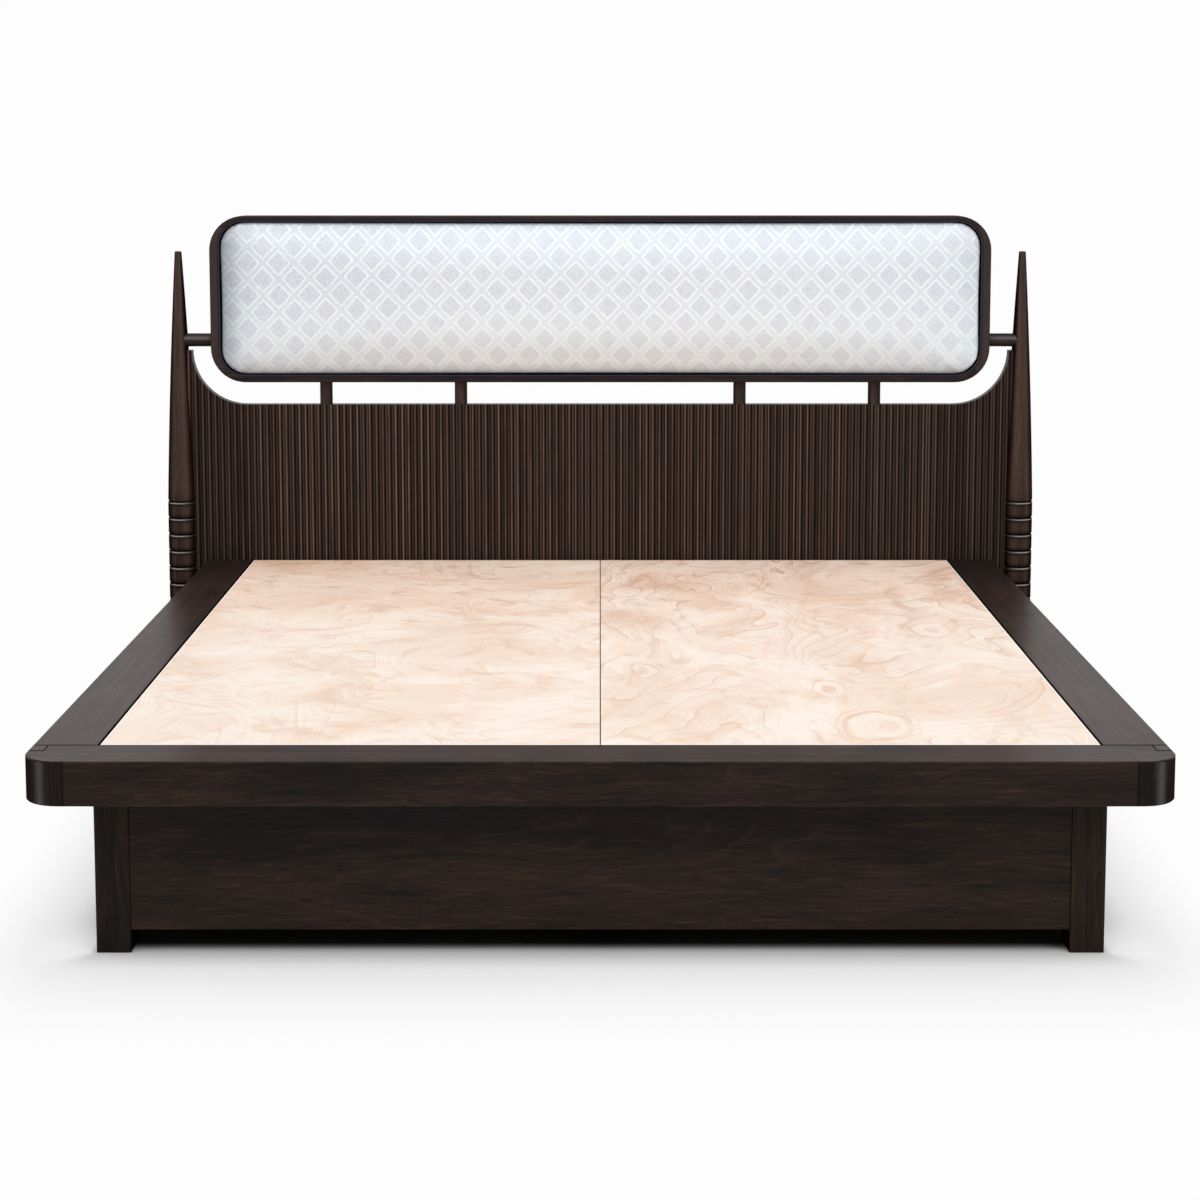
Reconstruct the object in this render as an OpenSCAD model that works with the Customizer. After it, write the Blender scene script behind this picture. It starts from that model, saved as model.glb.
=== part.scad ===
// Storage bed with a gas-lift deck, a fluted headboard and a padded head cushion.
// The bed stands on z = 0 with the foot towards -Y and the headboard towards +Y.

/* [Deck] */
// Width of the deck, between the side rails
deck_w = 1830; // [1200:10:2000]
// Length of the deck, from the foot rail to the headboard
deck_l = 1980; // [1850:10:2100]
// Height of the deck's top above the floor
deck_z = 388; // [380:1:450]
// Thickness of the plywood deck boards
board_t = 18; // [12:1:25]
// Gap around the boards and between the two
board_gap = 1.5; // [1:0.5:3]
// Gap at the head edge, which swings back a little as the deck lifts
head_gap = 9; // [8:0.5:15]

/* [Rim] */
// Width of a side rail, seen from above
side_rail_w = 122; // [90:1:160]
// Width of the foot rail, seen from above
foot_rail_w = 120; // [100:1:160]
// Height of all rails
rail_h = 82; // [60:1:90]
// Side of the corner block, seen from above
corner_block = 80; // [76:1:96]
// Outer radius of the corner block
corner_r = 70; // [30:1:74]
// Width of the tongue that locks a side rail beside the corner block
tongue_w = 29; // [16:1:40]
// Small chamfer on the timber edges
edge = 2; // [1:0.5:4]

/* [Box] */
// How far the legs stand in from the rim
plinth_inset = 110; // [90:1:112]
// Width of a leg, across the bed
leg_w = 64; // [50:1:80]
// Length of a leg, along the bed
leg_l = 82; // [60:1:90]
// Thickness of the box panels
panel_t = 18; // [15:1:22]
// How far a panel lies back from the legs' faces
panel_recess = 3; // [1:1:6]
// Height of the panels' bottom edge above the floor
panel_z = 43; // [30:1:60]
// Thickness of the storage floor
floor_t = 12; // [6:1:18]
// Height of the battens under the storage floor
batten_h = 15; // [10:1:25]
// Width of the battens under the storage floor
batten_w = 25; // [15:1:40]
// Thickness of the centre partition
partition_t = 22; // [15:1:30]
// Length of one leg under the partition
centre_leg_l = 90; // [60:1:120]

/* [Headboard] */
// Thickness of the board behind the reeds
backing_t = 22; // [18:1:26]
// Thickness of the reeded facing, at a reed's crest
facing_t = 12; // [8:1:16]
// Spacing of the reeds
reed_pitch = 16.9; // [12:0.1:24]
// Radius of a reed
reed_r = 10; // [8.6:0.1:16]
// Width of the flat groove between two reeds
reed_groove = 0.9; // [0.5:0.1:2]
// Height of the panel's straight top edge
panel_top_z = 800; // [700:1:830]
// Height of the two wing tips
wing_z = 942; // [860:1:960]
// Width of a wing's flat tip
wing_tip = 12; // [6:1:20]
// How far the panel's ends reach into the posts
post_groove = 19; // [10:1:24]

/* [Posts] */
// Distance of a post's axis from the rim's side
post_out = 66; // [52:1:90]
// Diameter of a post at its rings
post_d = 79; // [70:1:90]
// Diameter of a post's tip
post_tip_d = 18; // [12:1:26]
// Height of a post's tip
post_h = 1201; // [1100:1:1280]
// How far the spire swells beyond a straight taper
spire_swell = 2.7; // [0:0.1:5]
// Height of the uppermost groove
ring_top_z = 545; // [480:1:600]
// Spacing of the turned grooves
ring_pitch = 43.5; // [30:0.5:60]
// Depth of a turned groove
ring_depth = 2.6; // [1:0.1:5]
// Length of the plain foot of a post
post_foot_h = 60; // [40:1:100]

/* [Cushion frame] */
// Gap between a post and the cushion frame
hoop_gap = 46.5; // [30:0.5:80]
// Outer height of the cushion frame
hoop_h = 434; // [360:1:470]
// Height of the cushion frame's lower edge
hoop_z = 860; // [840:1:900]
// Outer corner radius of the cushion frame
hoop_r = 90; // [60:1:120]
// Thickness of the frame's band at its two sides
hoop_t = 20; // [14:1:26]
// Thickness of the band along the top
hoop_top_t = 10; // [8:1:20]
// Thickness of the band along the foot, where the dowels stand
hoop_foot_t = 14; // [12:1:24]
// Depth of the frame, front to back
hoop_depth = 64; // [56:1:80]
// Thickness of the board behind the cushion
backer_t = 9; // [6:1:14]
// Diameter of the piping around the cushion
piping_d = 5; // [4:0.5:9]
// How far the cushion's crown stands in front of its edge
crown = 26; // [10:1:36]
// How far the cushion's sides draw in between their corners
draw_in = 2.2; // [0:0.1:4]
// Diameter of the bars between the posts and the cushion frame
bar_d = 34.7; // [24:0.1:40]
// Height of those bars
bar_z = 969; // [960:1:1000]
// How deep a bar sits in its post and in the frame
bar_seat = 12; // [6:1:16]
// Diameter of the upright dowels under the cushion frame
dowel_d = 33; // [24:1:34]
// Place of the inner dowels, as a share of the cushion frame's half width
dowel_share_in = 0.36; // [0.2:0.01:0.5]
// Place of the outer dowels, as a share of the cushion frame's half width
dowel_share_out = 0.708; // [0.6:0.001:0.8]
// Diameter of a dowel's tenons
tenon_d = 8; // [6:0.5:9]
// Length of a dowel's tenons
tenon_l = 9; // [6:1:10]

/* [Lift frame] */
// Side of the square steel tube
tube = 30; // [25:1:40]
// Wall of the steel tube
tube_wall = 2; // [1.5:0.5:3]
// Outer corner radius of the steel tube
tube_r = 3; // [2.5:0.5:4]
// Width of the centre tube under the seam of the boards
centre_tube_w = 60; // [40:1:80]
// Distance of a side tube's middle from the side of the deck
side_tube_in = 74; // [70:1:100]
// Setback of the foot tube from the boards' foot edge
foot_tube_in = 22; // [10:1:40]
// Number of cross tubes on each side of the centre tube
cross_count = 2; // [1:1:3]

/* [Lift mechanism] */
// Distance of the pivot from the boards' head edge
pivot_in = 80; // [76:1:120]
// Distance of a strut's pivots from the lid's pivot, the same for both
strut_arm = 300; // [280:1:305]
// Angle between those two pivots with the deck closed
strut_angle = 62; // [56:1:66]
// Angle that the deck lifts through
lift_angle = 38; // [25:1:40]
// Diameter of the pivot pins
pivot_d = 12; // [10:1:14]
// Diameter of the struts' studs
stud_d = 8; // [6:1:10]
// Running clearance of a pin in its hole, on the radius
run = 0.05; // [0.02:0.01:0.1]
// Thickness of the steel plates on the box
plate_t = 5; // [4:0.5:6]
// Reach of those plates past the strut's stud, towards the foot
plate_foot = 60; // [50:1:80]
// Reach of those plates past the strut's stud, towards the head
plate_head = 100; // [80:1:120]
// Thickness of the hinge lugs on the lift frame
lug_t = 6; // [4:0.5:8]
// Length of the hinge lugs
lug_l = 160; // [120:1:200]
// Outer diameter of a strut's barrel
barrel_d = 28; // [22:1:30]
// Wall of a strut's barrel
barrel_wall = 2; // [1.5:0.5:3]
// Diameter of a strut's rod
rod_d = 10; // [8:1:12]
// Width of a strut's eyes
eye_w = 12; // [10:1:14]
// Outer diameter of a strut's eyes
eye_d = 24; // [20:1:26]
// Length of rod left showing with the deck closed
rod_show = 14; // [8:1:20]
// Height of the ledges that the lift frame lies on
ledge_h = 30; // [20:1:33]
// Distance of the side ledges' ends from the pivot
ledge_stop = 370; // [340:1:500]
// Gap left between pieces that part when the deck lifts
part_gap = 0.3; // [0.2:0.1:1]

/* [Fasteners] */
// Diameter of the bolts that hold the headboard
bed_bolt_d = 10; // [8:1:12]
// How far those bolts reach into the legs and the rails
bed_bolt_l = 45; // [35:1:60]
// Diameter of the bolts that hold the steel plates
plate_bolt_d = 6; // [5:1:8]
// Diameter of the screws that hold the boards from below
screw_d = 5; // [4:0.5:6]

/* [Hidden] */
walnut = [0.16, 0.12, 0.105];
plywood = [0.93, 0.83, 0.71];
steel = [0.16, 0.16, 0.17];
zinc = [0.72, 0.73, 0.74];
rubber = [0.08, 0.08, 0.08];
navy_cloth = [0.1, 0.11, 0.16];
pale_cloth = [0.86, 0.88, 0.9];
$fn = 48;
eps = 0.01;

// The box, worked out from the deck
rim_x = deck_w / 2 + side_rail_w;
inner_x = deck_w / 2;
rail_z = deck_z - rail_h;
headboard_t = backing_t + facing_t;
length = foot_rail_w + deck_l + headboard_t / 2 + post_d / 2;
foot_y = -length / 2;
deck_foot_y = foot_y + foot_rail_w;
head_y = deck_foot_y + deck_l;
mid_y = head_y + headboard_t / 2;
backing_y = head_y + facing_t;
back_y = head_y + headboard_t;
leg_x = rim_x - plinth_inset;
leg_in_x = leg_x - leg_w;
leg_foot_y = foot_y + plinth_inset;
leg_head_y = head_y - part_gap;
panel_x = leg_x - panel_recess;
panel_in_x = panel_x - panel_t;
panel_foot_y = leg_foot_y + panel_recess;
box_foot_y = panel_foot_y + panel_t;
floor_z = panel_z + batten_h;
floor_top = floor_z + floor_t;

// The lift frame lies under the boards
board_z = deck_z - board_t;
board_foot_y = deck_foot_y + board_gap;
board_head_y = head_y - head_gap;
tube_z = board_z - tube;
side_tube_x = inner_x - side_tube_in;
side_tube_out = side_tube_x + tube / 2;
side_tube_face = side_tube_x - tube / 2;
foot_tube_y = board_foot_y + foot_tube_in;
ledge_z = rail_z;
ledge_top = ledge_z + ledge_h;
pad_h = tube_z - ledge_top - part_gap;

// The pivot is level with the middle of the tubes, so the head edge swings little
pivot_y = board_head_y - pivot_in;
pivot_z = tube_z + tube / 2;
side_tube_end_y = pivot_y - pivot_d * 1.5;
head_tube_y = side_tube_end_y - 2 * tube;
lug_end_r = board_z - pivot_z - 1;

// Both ends of a strut lie at strut_arm from the pivot, so the strut turns half as far as the lid
upper_y = pivot_y - strut_arm;
upper_z = pivot_z;
lower_y = pivot_y - strut_arm * cos(strut_angle);
lower_z = pivot_z - strut_arm * sin(strut_angle);
strut_l = 2 * strut_arm * sin(strut_angle / 2);
plate_x = panel_in_x - plate_t;
plate_z = floor_top + 3;
strut_x = plate_x - barrel_d / 2 - 8;
barrel_start = eye_d / 2 - 1;
barrel_l = strut_l - barrel_start - rod_show - eye_d / 2;
gland_l = 16;
piston_l = 10;
piston_at = 55;

// The headboard and its posts
post_x = rim_x + post_out;
panel_half = post_x - post_d / 2 + post_groove;
wing_r = wing_z - panel_top_z;
wing_x = panel_half - wing_tip - wing_r;
wing_bottom = panel_z;
hoop_w = 2 * (post_x - post_d / 2 - hoop_gap);
hoop_foot_y = mid_y - hoop_depth / 2;
hoop_mid_z = hoop_z + hoop_h / 2;
inner_w = hoop_w - 2 * hoop_t;
inner_h = hoop_h - hoop_top_t - hoop_foot_t;
inner_mid_z = hoop_z + hoop_foot_t + inner_h / 2;
inner_r = hoop_r - hoop_t;
backer_y = hoop_foot_y + hoop_depth - backer_t - 3;
cushion_edge_y = hoop_foot_y + piping_d;
soft_gap = 0.4;
fit_gap = 0.1;
joint = 0.3;
reed_half = ceil(panel_half / reed_pitch);
reed_root = facing_t - reed_r + sqrt(pow(reed_r, 2) - pow((reed_pitch - reed_groove) / 2, 2));
ring_count = floor((ring_top_z - post_foot_h) / ring_pitch);
ring_foot_z = ring_top_z - ring_count * ring_pitch;
ring_taper = 1;
spire_steps = 12;
bar_post_x = post_x - spire_at(bar_z) + bar_seat;
dowel_xs = [for (side = [-1, 1], share = [dowel_share_in, dowel_share_out]) side * share * hoop_w / 2];

// Ledges, pads and the places of the fasteners
ledge_w = foot_tube_in + tube + 20;
ledge_end_y = pivot_y - ledge_stop;
dip_y = pivot_y - 2 * tube;
dip_z = pivot_z - pivot_in * sin(lift_angle) - tube;
centre_leg_ys = [for (t = [0.2, 0.5, 0.8]) box_foot_y + t * (leg_head_y - box_foot_y)];
pad_d = 24;
pad_ys = [for (t = [0.25, 0.6, 0.93]) deck_foot_y + t * (ledge_end_y - deck_foot_y)];
screw_ys = [for (t = [0.07, 0.45, 0.93]) foot_tube_y + tube + t * (head_tube_y - foot_tube_y - tube)];
screw_head = 1.6;
screw_reach = board_t * 2 / 3;
screw_hole = screw_d + 2 * fit_gap;
bolt_head = 5;
bolt_reach = headboard_t + bed_bolt_l;
bed_bolt_hole = bed_bolt_d + 2 * fit_gap;
leg_bolt_x = leg_in_x + leg_w / 2;
leg_bolt_z = [rail_z * 0.35, rail_z * 0.8];
rail_bolt_x = inner_x + side_rail_w / 2;
rail_bolt_z = rail_z + rail_h / 2;
plate_bolt_reach = 12;
plate_bolt_hole = plate_bolt_d + 2 * fit_gap;
plate_bolt_in = 1.9 * plate_bolt_d;
plate_bolt_places = [
    [lower_y - plate_foot + 1.8 * plate_bolt_in, plate_z + plate_bolt_in],
    [lower_y + plate_head - 2.6 * plate_bolt_in, plate_z + plate_bolt_in],
    [lower_y - plate_foot + 1.8 * plate_bolt_in, lower_z + plate_foot - 1.9 * plate_bolt_in],
    [pivot_y - 4.4 * plate_bolt_in, rail_z - 2.6 * plate_bolt_in]];
pivot_nut = 7;
stud_cap = 4;
barrel_floor = 8;

// A right-hand piece is drawn once, and mirrored for the left
module left() { mirror([1, 0, 0]) children(); }
module both() { children(); left() children(); }

// A section with all four corners chamfered, and one chamfered on its X = 0 side only
function chamfered(w, h, c = edge) =
    [[c, 0], [w - c, 0], [w, c], [w, h - c], [w - c, h], [c, h], [0, h - c], [0, c]];
function edged(w, h, c = edge) = [[c, 0], [w, 0], [w, h], [c, h], [0, h - c], [0, c]];

// Bars from their low corner, whose section is the child
module along_x(l) { rotate([90, 0, 90]) linear_extrude(l) children(); }
module along_y(l) { translate([0, l, 0]) rotate([90, 0, 0]) linear_extrude(l) children(); }

// A plain block from its low corner to its high corner
module block(low, high) { translate(low) cube(high - low); }

// A round rod along X, from x0 to x1
module rod_x(x0, x1, d) {
    translate([min(x0, x1), 0, 0]) rotate([0, 90, 0]) cylinder(h = abs(x1 - x0), d = d);
}

// A round rod along Y, from y0 to y1
module rod_y(y0, y1, d) {
    translate([0, max(y0, y1), 0]) rotate([90, 0, 0]) cylinder(h = abs(y1 - y0), d = d);
}

// A rounded rectangle, centred
module rounded(w, h, r) {
    square([w - 2 * r, h], center = true);
    square([w, h - 2 * r], center = true);
    for (x = [-1, 1], y = [-1, 1]) translate([x * (w / 2 - r), y * (h / 2 - r)]) circle(r);
}

// A hoop around a rounded rectangle that stands in X and Z. Its section is the child, with
// X outwards from the corner's centre and Y towards the back.
module hoop(w, h, r) {
    for (turn = [0, 180]) rotate([0, turn, 0]) {
        translate([w / 2 - r, 0, h / 2 - r]) rotate([0, -90, 0]) linear_extrude(w - 2 * r) children();
        translate([w / 2 - r, 0, r - h / 2]) linear_extrude(h - 2 * r) children();
        translate([w / 2 - r, 0, h / 2 - r]) hoop_corner(0) children();
        translate([w / 2 - r, 0, r - h / 2]) hoop_corner(-90) children();
    }
}
module hoop_corner(start) {
    rotate([90, 0, 0]) rotate([0, 0, start]) rotate_extrude(angle = 90, $fn = 96)
        mirror([0, 1]) children();
}

// The rim

module front_rail() color(walnut) difference() {
    translate([-rim_x, foot_y, rail_z]) along_x(2 * rim_x) polygon(edged(foot_rail_w, rail_h));
    both() block([rim_x - corner_block - joint, foot_y - 1, rail_z - 1],
        [rim_x + 1, foot_y + corner_block + joint, deck_z + 1]);
    both() block([rim_x - tongue_w - joint, foot_y + corner_block, rail_z - 1],
        [rim_x + 1, deck_foot_y + 1, deck_z + 1]);
}

module corner_block_right() color(walnut) translate([rim_x, foot_y, rail_z]) {
    translate([-corner_r, corner_r, 0]) rotate([0, 0, -90]) rotate_extrude(angle = 90, $fn = 96)
        polygon([[0, 0], [corner_r - edge, 0], [corner_r, edge], [corner_r, rail_h - edge],
            [corner_r - edge, rail_h], [0, rail_h]]);
    translate([-corner_block, 0, 0]) along_x(corner_block - corner_r)
        polygon(edged(corner_block, rail_h));
    translate([0, corner_r, 0]) along_y(corner_block - corner_r)
        mirror([1, 0]) polygon(edged(corner_block, rail_h));
}
module corner_block_left() left() corner_block_right();

// The rail's outer part runs on as a tongue, between the corner block and the foot rail
module side_rail_right() color(walnut) difference() {
    union() {
        translate([rim_x, foot_y + corner_block + joint, rail_z])
            along_y(head_y - part_gap - foot_y - corner_block - joint)
                mirror([1, 0]) polygon(edged(tongue_w, rail_h));
        block([inner_x, deck_foot_y + joint, rail_z], [rim_x - tongue_w + eps, head_y - part_gap, deck_z]);
    }
    translate([rail_bolt_x, 0, rail_bolt_z]) rod_y(back_y - bolt_reach - 1, back_y, bed_bolt_hole);
}
module side_rail_left() left() side_rail_right();

// The box under the rim

module leg(foot_end) {
    y = foot_end ? leg_foot_y : leg_head_y - leg_l;
    translate([leg_in_x, y, 0]) linear_extrude(rail_z) polygon(chamfered(leg_w, leg_l));
}
module front_leg_right() color(walnut) leg(true);
module front_leg_left() left() front_leg_right();
module rear_leg_right() color(walnut) difference() {
    leg(false);
    for (z = leg_bolt_z) translate([leg_bolt_x, 0, z])
        rod_y(back_y - bolt_reach - 1, back_y, bed_bolt_hole);
}
module rear_leg_left() left() rear_leg_right();

module front_panel() color(walnut)
    block([-leg_in_x, panel_foot_y, panel_z], [leg_in_x, box_foot_y, rail_z]);

module side_panel_right() color(walnut) difference() {
    block([panel_in_x, leg_foot_y + leg_l, panel_z], [panel_x, leg_head_y - leg_l, rail_z]);
    at_plate_bolts() rod_x(panel_in_x - 1, panel_in_x + plate_bolt_reach + 1, plate_bolt_hole);
}
module side_panel_left() left() side_panel_right();

// The partition steps down at the head, where the boards' head edge dips as the deck lifts
module centre_partition() color(walnut) translate([-partition_t / 2, 0, 0]) along_x(partition_t)
    polygon([[box_foot_y, panel_z], [leg_head_y, panel_z], [leg_head_y, dip_z], [dip_y, dip_z],
        [dip_y, ledge_top], [deck_foot_y, ledge_top], [deck_foot_y, rail_z], [box_foot_y, rail_z]]);

module centre_legs() color(walnut) for (y = centre_leg_ys)
    translate([-leg_w / 2, y - centre_leg_l / 2, 0]) linear_extrude(panel_z)
        polygon(chamfered(leg_w, centre_leg_l));

module floor_board_right() color(plywood) difference() {
    block([partition_t / 2 + joint, box_foot_y + joint, floor_z],
        [panel_in_x - joint, leg_head_y - joint, floor_top]);
    block([leg_in_x - 1, box_foot_y, floor_z - 1], [leg_x, leg_foot_y + leg_l + 1, floor_top + 1]);
    block([leg_in_x - 1, leg_head_y - leg_l - 1, floor_z - 1], [leg_x, head_y, floor_top + 1]);
}
module floor_board_left() left() floor_board_right();

module floor_battens() color(walnut) both() {
    block([panel_in_x - batten_w, leg_foot_y + leg_l, panel_z], [panel_in_x, leg_head_y - leg_l, floor_z]);
    block([partition_t / 2, box_foot_y, panel_z], [partition_t / 2 + batten_w, leg_head_y, floor_z]);
}

module foot_ledge() color(walnut) difference() {
    block([-inner_x, deck_foot_y, ledge_z], [inner_x, deck_foot_y + ledge_w, ledge_top]);
    block([-partition_t / 2, deck_foot_y - 1, ledge_z - 1],
        [partition_t / 2, deck_foot_y + ledge_w + 1, ledge_top + 1]);
}

module side_ledge_right() color(walnut)
    block([side_tube_face - 4, deck_foot_y + ledge_w, ledge_z], [inner_x, ledge_end_y, ledge_top]);
module side_ledge_left() left() side_ledge_right();

// Rubber pads on the ledges and the partition, under the lift frame
module rest_pads() color(rubber) {
    both() for (y = pad_ys) translate([side_tube_x, y, ledge_top]) cylinder(h = pad_h, d = pad_d);
    both() for (x = [side_tube_x / 3, side_tube_x * 2 / 3])
        translate([x, foot_tube_y + tube / 2, ledge_top]) cylinder(h = pad_h, d = pad_d);
    for (y = pad_ys) translate([0, y, ledge_top]) cylinder(h = pad_h, d = partition_t - 2);
}

// The headboard

// Outline of the panel in X and Z, with a hollow quarter round under each wing tip
module panel_outline() difference() {
    translate([-panel_half, wing_bottom]) square([2 * panel_half, wing_z - wing_bottom]);
    translate([-wing_x, panel_top_z]) square([2 * wing_x, wing_r + 1]);
    for (side = [-1, 1]) translate([side * wing_x, wing_z]) circle(wing_r, $fn = 128);
}

module headboard_backing() color(walnut) difference() {
    translate([0, back_y, 0]) rotate([90, 0, 0]) linear_extrude(backing_t) panel_outline();
    bed_bolt_holes();
    for (x = dowel_xs) translate([x, mid_y, panel_top_z - tenon_l - 1])
        cylinder(h = tenon_l + 2, d = tenon_d + 2 * fit_gap);
}

// Round reeds side by side, cut to the panel's outline
module fluted_facing() color(walnut) difference() {
    intersection() {
        translate([0, backing_y, 0]) rotate([90, 0, 0]) linear_extrude(facing_t + 1) panel_outline();
        linear_extrude(wing_z + 1) difference() {
            union() {
                translate([-panel_half, backing_y - reed_root])
                    square([2 * panel_half, reed_root]);
                for (i = [-reed_half : reed_half])
                    translate([i * reed_pitch, head_y + reed_r]) circle(reed_r);
            }
            translate([-panel_half - reed_r, backing_y])
                square([2 * panel_half + 2 * reed_r, 2 * reed_r]);
        }
    }
    bed_bolt_holes();
}

// A turned post: a spire with a slight swell over rings with rounded tops
function post_radius(z) = post_d / 2 - (z < ring_top_z ? z / ring_top_z : 1) * ring_taper;
function spire_radius(t) = let (base = post_radius(ring_top_z))
    base + (post_tip_d / 2 - base) * t + spire_swell * 4 * t * (1 - t);
function spire_at(z) = spire_radius((z - ring_top_z) / (post_h - ring_top_z));
function ring(z, r) = [
    [r - ring_depth, z], [r, z + ring_depth], [r, z + ring_pitch - 2.6 * ring_depth],
    [r - 0.35 * ring_depth, z + ring_pitch - ring_depth]];
function post_profile() = concat(
    [[0, 0], [post_d / 2 - edge, 0], [post_d / 2, edge], [post_d / 2, ring_foot_z - ring_depth]],
    [for (i = [0 : ring_count - 1], p = ring(ring_foot_z + i * ring_pitch,
        post_radius(ring_foot_z + i * ring_pitch))) p],
    [[post_radius(ring_top_z) - ring_depth, ring_top_z]],
    [for (i = [0 : spire_steps - 1]) let (t = (i + (i == 0 ? 0.06 : 0)) / spire_steps)
        [spire_radius(t), ring_top_z + t * (post_h - edge - ring_top_z)]],
    [[post_tip_d / 2, post_h - edge], [post_tip_d / 2 - edge, post_h], [0, post_h]]);

module post_right() color(walnut) difference() {
    translate([post_x, mid_y, 0]) rotate_extrude($fn = 96) polygon(post_profile());
    block([post_x - post_d, head_y - fit_gap, wing_bottom - 1],
        [panel_half + fit_gap, back_y + fit_gap, wing_z + 1]);
    translate([0, mid_y, bar_z]) rod_x(post_x - post_d, bar_post_x + fit_gap, bar_d + 2 * fit_gap);
}
module post_left() left() post_right();

module cross_bar_right() color(walnut) translate([0, mid_y, bar_z])
    rod_x(hoop_w / 2 - bar_seat, bar_post_x, bar_d);
module cross_bar_left() left() cross_bar_right();

// Each dowel stands on the panel with a tenon at both ends
module support_dowels() color(walnut) for (x = dowel_xs) translate([x, mid_y, 0]) {
    translate([0, 0, panel_top_z]) cylinder(h = hoop_z - panel_top_z, d = dowel_d);
    translate([0, 0, panel_top_z - tenon_l])
        cylinder(h = hoop_z - panel_top_z + 2 * tenon_l, d = tenon_d);
}

// The frame's band is thin along the top and thickest at the sides
module inner_outline() rounded(inner_w, inner_h, inner_r, $fn = 96);
module cushion_frame() color(walnut) difference() {
    translate([0, hoop_foot_y, hoop_mid_z]) hoop(hoop_w, hoop_h, hoop_r)
        translate([inner_r - edge, 0]) polygon(chamfered(hoop_t + edge, hoop_depth));
    translate([0, hoop_foot_y + hoop_depth + 1, inner_mid_z]) rotate([90, 0, 0])
        linear_extrude(hoop_depth + 2) inner_outline();
    translate([0, hoop_foot_y, inner_mid_z]) hoop(inner_w, inner_h, inner_r)
        translate([inner_r, 0]) polygon([[-1, -1], [edge + 1, -1], [-1, edge + 1]]);
    for (x = dowel_xs) translate([x, mid_y, hoop_z - 1])
        cylinder(h = tenon_l + 2, d = tenon_d + 2 * fit_gap);
    both() translate([0, mid_y, bar_z])
        rod_x(hoop_w / 2 - bar_seat - fit_gap, hoop_w / 2 + 1, bar_d + 2 * fit_gap);
}

module cushion_backer() color(walnut) translate([0, backer_y + backer_t, inner_mid_z])
    rotate([90, 0, 0]) linear_extrude(backer_t) inner_outline();

module cushion_piping() color(navy_cloth) translate([0, hoop_foot_y, inner_mid_z])
    hoop(inner_w, inner_h, inner_r)
        translate([inner_r - part_gap - piping_d / 2, edge + piping_d / 2])
            circle(d = piping_d, $fn = 24);

// The cushion: loops of one outline, drawn in along its sides and stepped towards its crown
cushion_w = inner_w - 2 * (piping_d + part_gap + soft_gap);
cushion_h = inner_h - 2 * (piping_d + part_gap + soft_gap);
cushion_r = inner_r - piping_d - part_gap - soft_gap;
crown_reach = cushion_h * 0.46;
loop_insets = [0, 1.5, 5, 11, 20, 34, 54, 82, 118, crown_reach];
corner_steps = 6;
long_steps = 12;
short_steps = 4;
function quarter(cx, cz, r, a) = [for (i = [0 : corner_steps])
    [cx + r * cos(a + 90 * i / corner_steps), cz + r * sin(a + 90 * i / corner_steps)]];
function side(from, to, steps, pull) = [for (i = [1 : steps - 1]) let (t = i / steps)
    from + (to - from) * t - pull * sin(180 * t)];
function cushion_loop(inset) =
    let (w = cushion_w / 2 - inset, h = cushion_h / 2 - inset, r = max(cushion_r - inset, 3),
        x = w - r, z = h - r, pull = draw_in * max(1 - inset / 40, 0))
    concat(quarter(x, z, r, 0), side([x, h], [-x, h], long_steps, [0, pull]),
        quarter(-x, z, r, 90), side([-w, z], [-w, -z], short_steps, [-pull, 0]),
        quarter(-x, -z, r, 180), side([-x, -h], [x, -h], long_steps, [0, -pull]),
        quarter(x, -z, r, 270), side([w, -z], [w, z], short_steps, [pull, 0]));
function crown_at(inset) = crown * pow(1 - pow(1 - inset / crown_reach, 2.6), 0.7);
module headboard_cushion() color(pale_cloth) {
    back = backer_y - soft_gap;
    front = cushion_edge_y - crown_at(crown_reach);
    outline = cushion_loop(0);
    count = len(outline);
    rows = len(loop_insets);
    points = concat([for (p = outline) [p[0], back, inner_mid_z + p[1]]],
        [for (d = loop_insets, p = cushion_loop(d))
            [p[0], cushion_edge_y - crown_at(d), inner_mid_z + p[1]]],
        [[0, back, inner_mid_z], [0, front, inner_mid_z]]);
    back_middle = len(points) - 2;
    polyhedron(points, concat(
        [for (i = [0 : count - 1]) [back_middle, (i + 1) % count, i]],
        [for (row = [0 : rows - 1], i = [0 : count - 1], half = [0, 1])
            let (a = row * count, j = (i + 1) % count)
            half == 0 ? [a + i, a + count + j, a + count + i] : [a + i, a + j, a + count + j]],
        [for (i = [0 : count - 1]) [back_middle + 1, rows * count + i, rows * count + (i + 1) % count]]));
}

// Bolts from behind the headboard, into the rear legs and the side rails
module at_bed_bolts() both() {
    for (z = leg_bolt_z) translate([leg_bolt_x, 0, z]) children();
    translate([rail_bolt_x, 0, rail_bolt_z]) children();
}
module bed_bolt_holes() at_bed_bolts() rod_y(head_y - 1, back_y + 1, bed_bolt_hole);
module bed_bolts() color(zinc) at_bed_bolts() {
    rod_y(back_y - bolt_reach, back_y + 1, bed_bolt_d);
    translate([0, back_y + bolt_head, 0]) rotate([90, 0, 0])
        cylinder(h = bolt_head, d = bed_bolt_d * 1.85, $fn = 6);
}

// The lift mechanism on the box

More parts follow.
